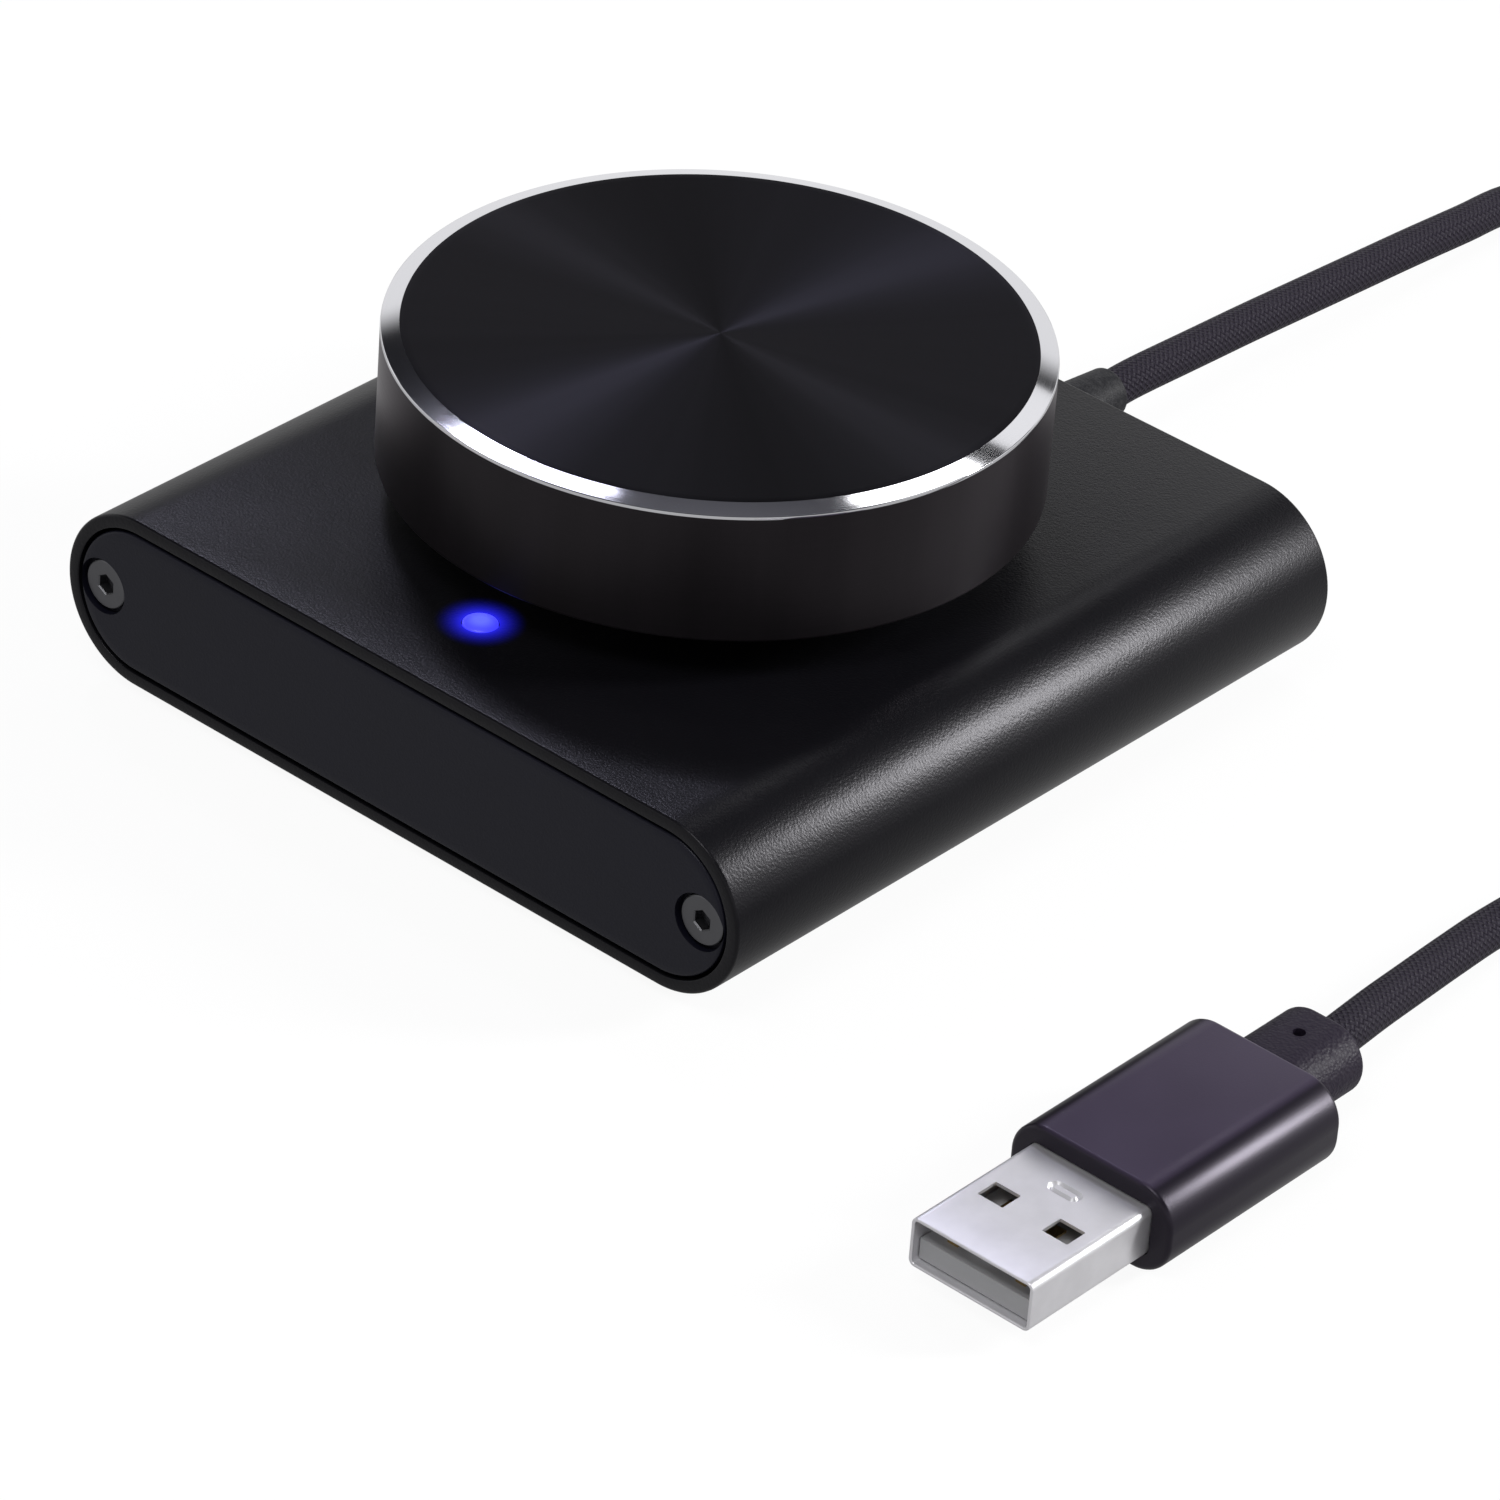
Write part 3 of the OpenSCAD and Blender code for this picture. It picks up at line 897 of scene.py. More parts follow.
def mesh_from(*skins: Skin) -> Any:
    """One mesh of several skins, with doubles merged and faces turned outwards.

    Args:
        skins: The skins, in millimetres.

    Returns:
        The mesh, in metres.
    """
    points = np.concatenate([skin.points.reshape(-1, 3) for skin in skins]) * MM
    starts = np.cumsum([0] + [skin.points[..., 0].size for skin in skins])
    lists = [skin.faces(int(first)) for skin, first in zip(skins, starts)]
    paints = np.repeat([skin.paint for skin in skins], [len(faces) for faces in lists])
    mesh = bpy.data.meshes.new("skin")
    mesh.from_pydata(points.tolist(), [], [face for faces in lists for face in faces])
    mesh.polygons.foreach_set("material_index", paints.astype(np.int32))
    work = bmesh.new()
    work.from_mesh(mesh)
    bmesh.ops.remove_doubles(work, verts=work.verts, dist=2e-6)
    bmesh.ops.dissolve_degenerate(work, edges=work.edges, dist=1e-6)
    bmesh.ops.recalc_face_normals(work, faces=work.faces)
    work.to_mesh(mesh)
    work.free()
    return mesh


def cut(piece: Any, cutters: Sequence[Skin]) -> None:
    """Takes cutters out of a piece and keeps the result as its mesh.

    Args:
        piece: The object.
        cutters: Closed skins, in millimetres.
    """
    for cutter in cutters:
        tool = linked("cutter", mesh_from(cutter))
        step = piece.modifiers.new("cut", "BOOLEAN")
        step.operation, step.solver, step.object = "DIFFERENCE", "EXACT", tool
        bpy.context.view_layer.update()
        graph = bpy.context.evaluated_depsgraph_get()
        mesh = bpy.data.meshes.new_from_object(piece.evaluated_get(graph))
        piece.modifiers.clear()
        piece.data = mesh
        bpy.data.objects.remove(tool)


@dataclass
class Maker:
    """Makes objects out of skins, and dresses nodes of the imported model."""

    materials: Dict[str, Any] = field(default_factory=dict)

    def coat(self, name: str, finish: Finish) -> Any:
        """The material of a name, built once.

        Args:
            name: The material's name.
            finish: The finish that it is built from.

        Returns:
            The material.
        """
        if name not in self.materials:
            self.materials[name] = finish.material(name)
        return self.materials[name]

    def piece(
        self,
        name: str,
        mesh: Any,
        coats: Dict[str, Finish],
        nodes: Sequence[str],
        slot: str,
        cutters: Sequence[Skin] = (),
        body: Body = Body.BASE,
        crease: float = 30.0,
    ) -> Any:
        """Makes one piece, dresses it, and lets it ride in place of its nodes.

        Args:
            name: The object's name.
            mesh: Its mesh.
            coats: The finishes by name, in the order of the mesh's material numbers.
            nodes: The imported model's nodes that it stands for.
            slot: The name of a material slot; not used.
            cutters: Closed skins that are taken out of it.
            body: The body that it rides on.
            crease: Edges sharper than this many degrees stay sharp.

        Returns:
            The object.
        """
        mesh.name = name
        made = linked(name, mesh)
        for coat, finish in coats.items():
            mesh.materials.append(self.coat(coat, finish))
        cut(made, cutters)
        smooth = np.ones(len(made.data.polygons), bool)
        made.data.polygons.foreach_set("use_smooth", smooth)
        made.data.set_sharp_from_angle(angle=math.radians(crease))
        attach(made, body.value)
        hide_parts(*nodes)
        log.info("%s: %d faces, in place of %s", name, len(smooth), ", ".join(nodes))
        return made

    def dress(self, name: str, finish: Finish, *nodes: str) -> None:
        """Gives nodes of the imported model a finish, their shapes kept.

        Args:
            name: The material's name.
            finish: The finish.
            nodes: The nodes.
        """
        coat = self.coat(name, finish)
        for node in nodes:
            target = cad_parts[node]
            if not target.material_slots:
                target.data.materials.append(coat)
            for slot in target.material_slots:
                slot.material = coat
            log.info("%s: kept, finish %s", node, name)


@dataclass
class Assembly:
    """A group of pieces that belong together."""

    maker: Maker


# ---- the studio


@dataclass(frozen=True)
class Softbox:
    """One square lamp: where it stands, seen from the dial, its face, power and colour."""

    azimuth: float
    elevation: float
    distance: float
    width: float
    height: float
    watts: float
    colour: Triple = WHITE

    def hang(self, name: str, aim: Array) -> None:
        """Hangs the lamp so that it faces the aim.

        Args:
            name: The lamp's name.
            aim: The point it faces, in metres.
        """
        a, e = math.radians(self.azimuth), math.radians(self.elevation)
        back = np.array([math.cos(a) * math.cos(e), math.sin(a) * math.cos(e), math.sin(e)])
        right = np.cross([0.0, 0.0, 1.0], back)
        right /= np.linalg.norm(right)
        lamp = bpy.data.lights.new(name, "AREA")
        lamp.shape, lamp.size, lamp.size_y = "RECTANGLE", self.width, self.height
        lamp.energy, lamp.color = self.watts, self.colour
        up = np.cross(back, right)
        linked(name, lamp).matrix_world = posed(right, up, back, aim + back * self.distance)
        log.info("%s: %.1f W", name, self.watts)


@dataclass
class Studio:
    """Camera, pale floor, white surroundings and soft lamps.

    The surroundings are white in reflections up to the horizon's two heights, grey above
    them, and nearly black from the zenith's two heights on. Heights are sines of elevation.
    """

    azimuth: float = 39.301
    elevation: float = 33.314
    roll: float = 4.451
    distance: float = 0.678503
    focal_px: float = 8102.05
    image_px: float = 1500.0
    target_px: Pair = (-46.072, 187.845)
    target: Triple = (0.0, 0.0, 0.011)
    lamp_aim: Triple = (0.0, 0.0, 0.02)
    ambient: Triple = (0.4, 0.4, 0.4)
    horizon: Pair = (0.43, 0.5)
    zenith: Pair = (0.72, 0.9)
    high_sky: Triple = (0.015, 0.015, 0.017)
    low_sky: Triple = (0.16, 0.16, 0.18)
    floor_seen: Triple = (0.82, 0.82, 0.82)
    floor_unseen: Triple = (0.4, 0.4, 0.4)
    floor_glow: Pair = (0.55, 1.0)
    floor_share: float = 0.93
    floor_z: float = -0.05
    floor_radii: Triple = (0.0, 400.0, 4000.0)
    sensor_mm: float = 36.0
    clip: Pair = (0.01, 50.0)
    bluish: Triple = (0.82, 0.82, 1.0)

    @property
    def lamps(self) -> Dict[str, Softbox]:
        """The soft lamps.

        Returns:
            Lamps by name.
        """
        return {
            "left_low": Softbox(151.0, 47.5, 1.2, 0.18, 0.07, 2.2, self.bluish),
            "left_high": Softbox(147.0, 52.7, 1.2, 0.18, 0.15, 0.3, self.bluish),
            "right_strip": Softbox(45.5, 26.0, 1.2, 0.18, 0.38, 16.5),
            "back_box": Softbox(109.5, 49.0, 1.2, 0.16, 0.2, 0.55),
            "back_low": Softbox(109.0, 36.0, 1.2, 0.16, 0.2, 0.11),
            "front_fill": Softbox(-75.0, 62.0, 1.4, 0.6, 0.5, 8.0),
        }

    def camera(self) -> None:
        """Sets the camera at the photograph's viewing angle.

        It looks back along the azimuth and elevation, is rolled about its axis, and then
        slides in its own plane until the target stands at target_px from the middle.
        """
        a, e, r = (math.radians(x) for x in (self.azimuth, self.elevation, self.roll))
        back = np.array([math.sin(a) * math.cos(e), -math.cos(a) * math.cos(e), math.sin(e)])
        flat = np.array([math.cos(a), math.sin(a), 0.0])
        steep = np.cross(back, flat)
        right = flat * math.cos(r) + steep * math.sin(r)
        up = steep * math.cos(r) - flat * math.sin(r)
        slide = np.array(self.target_px) * self.distance / self.focal_px
        place = np.array(self.target) + back * self.distance - right * slide[0] - up * slide[1]
        data = bpy.data.cameras.new("camera")
        data.sensor_width = self.sensor_mm
        data.lens = self.focal_px / self.image_px * self.sensor_mm
        data.clip_start, data.clip_end = self.clip
        made = linked("camera", data)
        made.matrix_world = posed(right, up, back, place)
        bpy.context.scene.camera = made
        log.info("camera at %s mm", np.round(place / MM, 1))

    def rays(self, book: NodeBook, *kinds: str) -> Value:
        """Tells kinds of rays apart.

        Args:
            book: The tree.
            kinds: Names of the kinds.

        Returns:
            One for rays of these kinds, else zero.
        """
        path = book.add("LightPath", {}, {})
        first, *others = (Value(book, path[f"Is {kind} Ray"]) for kind in kinds)
        for other in others:
            first = first + other
        return first.clamped()

    def surroundings(self) -> None:
        """White to the eye and in reflections near the horizon, dim overhead."""
        world = bpy.data.worlds.new("studio")
        bpy.context.scene.world = world
        world.use_nodes = True
        book = NodeBook(world.node_tree)
        _, _, height = book.parts(book.add("TexCoord", {}, {})["Generated"])
        glossy = self.rays(book, "Glossy")
        seen = self.rays(book, "Camera", "Glossy", "Transmission")
        dim = book.blend(height.step(*self.zenith), self.high_sky, self.low_sky)
        sky = book.blend(height.step(*self.horizon) * glossy, WHITE, dim)
        shown = book.add("Background", {}, {"Color": sky, "Strength": 1.0})
        grey = {"Color": rgba(self.ambient), "Strength": 1.0}
        light = book.add("Background", {}, grey)
        both = book.mixed_shader(seen, light, shown)
        book.add("OutputWorld", {}, {0: both[0]})

    def floor(self) -> None:
        """A wide disc just under the feet: white to the eye, greyer in reflections and as a
        reflector, and it keeps the shadow."""
        made = bpy.data.materials.new("pale_floor")
        made.use_nodes = True
        book = NodeBook(made.node_tree)
        eye = self.rays(book, "Camera", "Transmission")
        tone = book.blend(eye, self.floor_unseen, self.floor_seen)
        matt = book.add("BsdfDiffuse", {}, {"Color": tone})
        low, high = self.floor_glow
        white = book.add("Emission", {}, {"Strength": eye * (high - low) + low})
        share = self.rays(book, "Camera", "Glossy", "Transmission") * self.floor_share
        both = book.mixed_shader(share, matt, white)
        book.add("OutputMaterial", {}, {0: both[0]})
        rings = np.array([[radius, self.floor_z] for radius in self.floor_radii])
        disc = linked("floor", mesh_from(Skin(turned(rings, 96))))
        disc.data.materials.append(made)

    def build(self) -> None:
        """Sets the colours of the picture, the surroundings, the floor and the lamps."""
        bpy.context.scene.view_settings.view_transform = "Standard"
        self.surroundings()
        self.floor()
        for name, lamp in self.lamps.items():
            lamp.hang(name, np.array(self.lamp_aim))


# ---- the lead


@dataclass
class Lead(Assembly):
    """The braided lead from inside the housing to the plug's tail, wound up on the way."""

    diameter: float = 3.6
    exit: Triple = (0.0, 37.5, 5.9)
    coil_at: Pair = (74.0, 122.0)
    coil_radius: float = 30.0
    coil_z: float = 2.6
    coil_turns: float = 9.25
    layer: float = 4.1
    pitch: float = 4.2
    per_turn: int = 44
    sides: int = 20
    per_step: int = 5
    device_route: Tuple[Triple, ...] = (
        (0, 30, 5.9), (0, 36, 5.9), (0, 42, 5.9), (0, 48, 5.9), (0, 54, 5.9), (0, 58, 5.9),
        (0, 66, 5.5), (0, 74, 5.1), (0, 82, 4.6), (0, 90, 4.1), (0, 98, 3.6), (0, 106, 3),
        (0, 113, 2.5), (2, 120, 2.1), (5, 127, 1.9), (9, 133, 1.85), (14, 139, 1.85),
        (20, 144, 1.85), (27, 148, 1.9), (35, 150.5, 2), (43, 151.7, 2.2), (51, 152, 2.4),
        (58, 152, 2.5), (64, 152, 2.6), (70.4, 152, 2.6),
    )
    plug_route: Tuple[Triple, ...] = (
        (104, 118.4, 6.7), (104, 112, 6.7), (104, 105, 6.4), (103, 97, 5.3), (101, 89, 3.9),
        (98, 81, 2.7), (94.6, 73, 2), (91, 65.5, 1.85), (87, 58.5, 1.85), (83, 51.5, 1.85),
        (79.2, 44.5, 1.85), (75.8, 37.5, 1.85), (73.2, 30.5, 1.9), (71.8, 23.5, 1.95),
        (71.5, 17, 2.1), (71.9, 11, 2.5), (72.5, 5, 3), (73.1, -0.5, 3.5), (73.7, -5, 3.9),
        (74, -8.5, 4), (74, -10.5, 4),
    )
    boot_profile: Tuple[Pair, ...] = (
        (1.86, 32.5), (3.0, 32.5), (3.0, 34.45), (2.3, 34.45), (2.3, 37.55), (3.0, 37.55),
        (3.0, 45.0), (2.3, 54.0), (1.86, 54.0),
    )
    boot_radii: Tuple[float, ...] = (0.1, 0.2, 0.05, 0.05, 0.05, 0.3, 6.0, 0.35, 0.05)
    tie_angle: float = 45.0
    tie_thick: float = 0.6
    tie_wide: float = 6.0
    tie_round: float = 1.5
    tie_room: Triple = (0.5, 0.1, 0.3)
    braid: BraidedNylon = BraidedNylon((0.016, 0.013, 0.021), 0.5, specular=0.1)
    rubber: MouldedRubber = MouldedRubber((0.008, 0.008, 0.01), 0.5, specular=0.15)

    def smooth_route(self, route: Sequence[Triple]) -> Array:
        """A smooth curve through a route's points.

        Between two points the curve is the cubic whose slope at each is half the step from
        the point before to the point after.

        Args:
            route: The points.

        Returns:
            The curve's points, the last one included.
        """
        p = np.asarray(route, float)
        slope = np.gradient(p, axis=0)
        s = np.linspace(0, 1, self.per_step, endpoint=False)[None, :, None]
        a, b, m, n = p[:-1, None], p[1:, None], slope[:-1, None], slope[1:, None]
        curve = a * (1 + 2 * s) * (1 - s) ** 2 + m * s * (1 - s) ** 2
        curve = curve + b * s * s * (3 - 2 * s) + n * s * s * (s - 1)
        return np.concatenate([curve.reshape(-1, 3), p[-1:]])

    def coil(self) -> Array:
        """The coil's centreline: turns spiral in on the lower layer and out on the upper.

        With t in turns, the radius is the outer radius less the pitch for each turn from the
        nearer end, and the height climbs one layer as half a cosine wave at the middle.

        Returns:
            The coil's points.
        """
        t = np.linspace(0, self.coil_turns, round(self.coil_turns * self.per_turn) + 1)
        radius = self.coil_radius - self.pitch * np.minimum(t, self.coil_turns - t)
        climb = np.clip((t - self.coil_turns / 2) * 2 + 0.5, 0, 1)
        z = self.coil_z + self.layer * (1 - np.cos(math.pi * climb)) / 2
        angle = math.pi / 2 - TURN * t
        x = self.coil_at[0] + radius * np.cos(angle)
        y = self.coil_at[1] + radius * np.sin(angle)
        return np.stack([x, y, z], 1)

    def tube(self, path: Array) -> Any:
        """A round tube along the path, with its own UV map for the braid.

        Each ring lies square to the path: across is the path's direction crossed with up,
        over is across crossed with the direction, and a ring point is the path's point plus
        cosine times over and sine times across, times the radius.

        Args:
            path: The centreline, in millimetres.

        Returns:
            The mesh.
        """
        along = np.gradient(path, axis=0)
        along /= np.linalg.norm(along, axis=1, keepdims=True)
        across = np.cross(along, [0.0, 0.0, 1.0])
        across /= np.linalg.norm(across, axis=1, keepdims=True)
        over = np.cross(across, along)
        angle = np.linspace(0, TURN, self.sides, endpoint=False)[None, :, None]
        ring = np.cos(angle) * over[:, None] + np.sin(angle) * across[:, None]
        points = path[:, None] + self.diameter / 2 * ring
        rows, sides = points.shape[:2]
        index = np.arange(rows * sides).reshape(rows, sides)
        index = np.concatenate([index, index[:, :1]], 1)
        quads = [index[:-1, :-1], index[1:, :-1], index[1:, 1:], index[:-1, 1:]]
        faces = np.stack(quads, 2).reshape(-1, 4).tolist()
        faces += [index[0, :-1].tolist(), index[-1, -2::-1].tolist()]
        mesh = bpy.data.meshes.new("lead")
        mesh.from_pydata((points.reshape(-1, 3) * MM).tolist(), [], faces)
        gone = np.linalg.norm(np.diff(path, axis=0), axis=1)
        length = np.concatenate([[0.0], np.cumsum(gone)]) / (math.pi * self.diameter)
        u = np.stack([length[:-1], length[1:], length[1:], length[:-1]], 1)
        u = np.repeat(u[:, None], sides, 1)
        v = np.arange(sides)[:, None] + np.array([0, 0, 1, 1])[None]
        v = np.repeat(v[None] / sides, rows - 1, 0)
        loops = np.stack([u, v], 3).reshape(-1, 2)
        loops = np.concatenate([loops, np.zeros((2 * sides, 2))])
        layer = mesh.uv_layers.new(name="along")
        layer.data.foreach_set("uv", loops.astype(np.float32).ravel())
        mesh.validate()
        return mesh

    def build(self) -> None:
        """Makes the lead, its strain relief and the strap round the coil."""
        device, plug = (self.smooth_route(r) for r in (self.device_route, self.plug_route))
        path = np.concatenate([device, self.coil(), plug])
        coats = {"braided_sleeve": self.braid}
        nodes = ["cord_inner_end", "cord_device_run", "cord_coil", "cord_plug_run"]
        lead = self.maker.piece(
            "lead", self.tube(path), coats, nodes, "cord_sleeve", crease=50.0
        )
        boot = self.rubber_piece("strain_relief", "cord_boot", self.strain_relief())
        strap = self.rubber_piece("lead_strap", "cord_tie", self.strap())

    def rubber_piece(self, name: str, node: str, points: Array) -> Any:
        """Makes a rubber ring that closes both ways.

        Args:
            name: The object's name.
            node: The node that it stands for.
            points: Its grid of points.

        Returns:
            The object.
        """
        mesh, coats = mesh_from(Skin(points, loop_rows=True)), {"lead_rubber": self.rubber}
        return self.maker.piece(name, mesh, coats, [node], "black_rubber")

    def strain_relief(self) -> Array:
        """The tapered sleeve on the rear plate: its closed profile turned about the lead."""
        profile = rounded(self.boot_profile, self.boot_radii, 6)
        return turned(profile, 40, Axis.BACK, (0, 0, self.exit[2]))

    def strap(self) -> Array:
        """The flat strap, snug round all turns at one place.

        Returns:
            The points of a band round a rectangle that stands across the coil.
        """
        part, half = self.tie_angle / 360, self.diameter / 2
        inside, outside, above = self.tie_room
        near = self.coil_radius - self.pitch * (int(self.coil_turns / 2) + part) - half - inside
        far = self.coil_radius - self.pitch * part + half + outside
        thick = self.tie_thick
        top = self.coil_z + self.layer + half + above + thick
        shape = round_outline(far - near + 2 * thick, top, self.tie_round, 6)
        ring = wall(-self.tie_wide / 2, self.tie_wide / 2, thick, [0.15] * 4, 4)
        points = shape.carried(ring, ((near + far) / 2, 0, top / 2))
        c, s = math.cos(math.radians(self.tie_angle)), math.sin(math.radians(self.tie_angle))
        return points @ np.array([[c, s, 0], [-s, c, 0], [0, 0, 1]]) + (*self.coil_at, 0.0)


# ---- the housing


@dataclass
class Housing(Assembly):
    """The extruded sleeve, its two end plates with their screws, and the feet."""

    width: float = 75.0
    length: float = 75.0
    height: float = 16.0
    lift: float = 1.0
    wall: float = 1.2
    gap: float = 0.3
    plate: float = 3.0
    edge: float = 0.3
    inner_edge: float = 0.12
    screw_x: float = 33.4
    screw_core: float = 1.25
    head_sunk: float = 0.35
    head_radius: float = 2.2
    key_width: float = 1.6
    key_depth: float = 1.3
    thread_core: float = 0.98
    thread_height: float = 0.24
    thread_pitch: float = 0.45
    thread_end: float = 8.0
    boss: float = 3.0
    shaft_hole: float = 3.6
    light_hole: float = 1.6
    light_y: float = -27.7
    lead_z: float = 5.9
    lead_hole: float = 2.35
    foot_x: float = 23.5
    foot_y: float = 27.0
    head_sides: int = 48
    sink: Tuple[Pair, ...] = (
        (2.55, 1.0), (2.55, -0.85), (2.25, -0.85), (1.45, -1.65), (1.45, -4.0),
    )
    rib_profile: Tuple[Pair, ...] = (
        (30.5, 1.6), (28.0, 1.6), (28.0, 7.5), (29.7, 7.5), (29.7, 9.3), (28.0, 9.3),
        (28.0, 10.2), (30.5, 10.2),
    )
    foot_profile: Tuple[Pair, ...] = (
        (0.0, 0.08), (3.2, 0.08), (3.5, 0.0), (4.5, 0.0), (4.5, 1.0), (0.0, 1.0),
    )
    foot_radii: Tuple[float, ...] = (0.0, 0.3, 0.2, 0.4, 0.0, 0.0)
    # The body's finish paints the blue halo of the light round the lens hole.
    body: BlastedAnodise = BlastedAnodise(
        (0.0026, 0.0025, 0.0034), 0.33, specular=0.17, edge=(0.96, 0.94, 1.0), grain_mm=0.22,
        depth_mm=0.026, glow_y=-27.7,
    )
    end: BlastedAnodise = BlastedAnodise(
        (0.003, 0.003, 0.0065), 0.42, specular=0.21, edge=(0.9, 0.9, 1.0)
    )
    steel: MachinedSteel = MachinedSteel((0.12, 0.12, 0.128), 0.4, metallic=1.0)
    rubber: MouldedRubber = MouldedRubber((0.014, 0.014, 0.015), 0.6)

    @property
    def middle(self) -> float:
        """Height of the housing's middle."""
        return self.lift + self.height / 2

    @property
    def screw_places(self) -> List[Triple]:
        """Points on the two screw axes."""
        return [(side * self.screw_x, 0, self.middle) for side in SIDES]

    def sleeve(self) -> None:
        """The extruded tube with its screw bosses and board ribs inside."""
        half = self.length / 2
        inside = half - self.plate
        shape = round_outline(self.width, self.height, self.height / 2, 33)
        edges = [self.edge] * 2 + [self.inner_edge] * 2
        ring = wall(-half, half, self.wall, edges, 5)
        core, boss = self.screw_core, self.boss
        tube = np.array([[core, -inside], [boss, -inside], [boss, inside], [core, inside]])
        skins = [Skin(shape.carried(ring, (0, 0, self.middle)), loop_rows=True)]
        for at in self.screw_places:
            skins.append(Skin(turned(tube, 24, Axis.BACK, at), loop_rows=True))
        mesh = mesh_from(*skins, *(self.rib(side, inside) for side in SIDES))
        cutters = [
            drill(radius, 0.0, 9.0, 64, Axis.UP, (0.0, y, self.middle))
            for y, radius in ((0.0, self.shaft_hole), (self.light_y, self.light_hole))
        ]
        coats = {"blasted_housing": self.body}
        self.maker.piece("sleeve", mesh, coats, ["housing_sleeve"], "anodised_body", cutters)

    def rib(self, side: int, inside: float) -> Skin:
        """One rib with the groove that the circuit board slides in: its section, mirrored by
        the side, at both ends of the sleeve's inside.

        Args:
            side: -1 for the left, 1 for the right.
            inside: Half the length between the end plates.

        Returns:
            The rib.
        """
        x, z = np.array(self.rib_profile).T
        rows = [np.stack([x * side, np.full(len(x), y), z], 1) for y in (-inside, inside)]
        return Skin(np.stack(rows), capped=True)

    def end_plate(self, name: str, out: int) -> None:
        """One end plate with its two countersinks, and the lead's hole in the rear one.

        Args:
            name: The node's name.
            out: The plate's side, -1 for the front.
        """
        face = out * self.length / 2
        inset = self.wall + self.gap
        wide, high = self.width - 2 * inset, self.height - 2 * inset
        shape = round_outline(wide, high, high / 2, 25)
        stations = block(face, face - out * self.plate, 3 * self.edge, (self.edge,) * 2, 5)
        mesh = mesh_from(Skin(shape.carried(stations, (0, 0, self.middle)), capped=True))
        profile = np.array([(r, face + out * y) for r, y in self.sink])
        cutters = [
            Skin(turned(profile, 48, Axis.BACK, at), capped=True) for at in self.screw_places
        ]
        if out > 0:
            at = (0, 0, self.lead_z)
            cutters.append(drill(self.lead_hole, face - 5, face + 1, 40, Axis.BACK, at))
        coats = {"blasted_plate": self.end}
        self.maker.piece(name + "_skin", mesh, coats, [name], "anodised_body", cutters)

    def screws(self, name: str, out: int) -> None:
        """Two countersunk hex-socket screws.

        The hexagon's radius is half its width over the cosine of the angle from the middle of
        the nearest side. The head's face is a ring between a circle and the hexagon; the
        thread's radius is the core plus a triangle wave of the length in pitches plus the
        angle in turns.

        Args:
            name: The node's name.
            out: The screws' side, -1 for the front.
        """
        face = out * (self.length / 2 - self.head_sunk)
        sides, wide, deep = self.head_sides, self.head_radius, self.key_depth
        angle = np.linspace(0, TURN, sides, endpoint=False)
        hexagon = self.key_width / 2 / np.cos((angle + TURN / 12) % (TURN / 6) - TURN / 12)
        ones = np.ones(sides)
        thread = np.linspace(deep + 0.1, self.thread_end, 90)
        wave = np.abs((thread[:, None] / self.thread_pitch + angle[None] / TURN) % 1 - 0.5) * 2
        thread_radius = self.thread_core + self.thread_height * wave
        head = [ones * 0.0, hexagon * 0.98, hexagon, hexagon * 1.12]
        neck = [ones * (wide - 0.1), ones * wide, ones * (wide - 1.0)]
        radius = np.concatenate([head, neck, thread_radius, [ones * 0.0]])
        depth = [1.0, 1.0, 0.12, 0.0, 0.0, 0.06, deep, *thread, self.thread_end + 0.2]
        y = face - out * np.repeat(np.array(depth)[:, None], sides, 1)
        screw = np.stack([radius * np.cos(angle), y, radius * np.sin(angle)], 2)
        mesh = mesh_from(*(Skin(screw + at) for at in self.screw_places))
        coats = {"screw_steel": self.steel}
        self.maker.piece(name + "_pair", mesh, coats, [name], "dark_steel")

    def foot(self, sx: int, sy: int) -> None:
        """One rubber foot: a low disc with a rolled lower edge and a shallow dish.

        Args:
            sx: -1 for the left, 1 for the right.
            sy: -1 for the front, 1 for the rear.
        """
        profile = rounded(self.foot_profile, self.foot_radii, 5)
        name = f"foot_{'front' if sy < 0 else 'rear'}_{'left' if sx < 0 else 'right'}"
        mesh = mesh_from(Skin(turned(profile, 48, at=(sx * self.foot_x, sy * self.foot_y, 0))))
        coats = {"foot_rubber": self.rubber}
        self.maker.piece(name + "_pad", mesh, coats, [name], "black_rubber")

    def build(self) -> None:
        """Makes all pieces of the housing."""
        self.sleeve()
        for side, out in (("front", -1), ("rear", 1)):
            self.end_plate(side + "_plate", out)
            self.screws(side + "_plate_screws", out)
        for sx in SIDES:
            for sy in SIDES:
                self.foot(sx, sy)


# ---- the dial


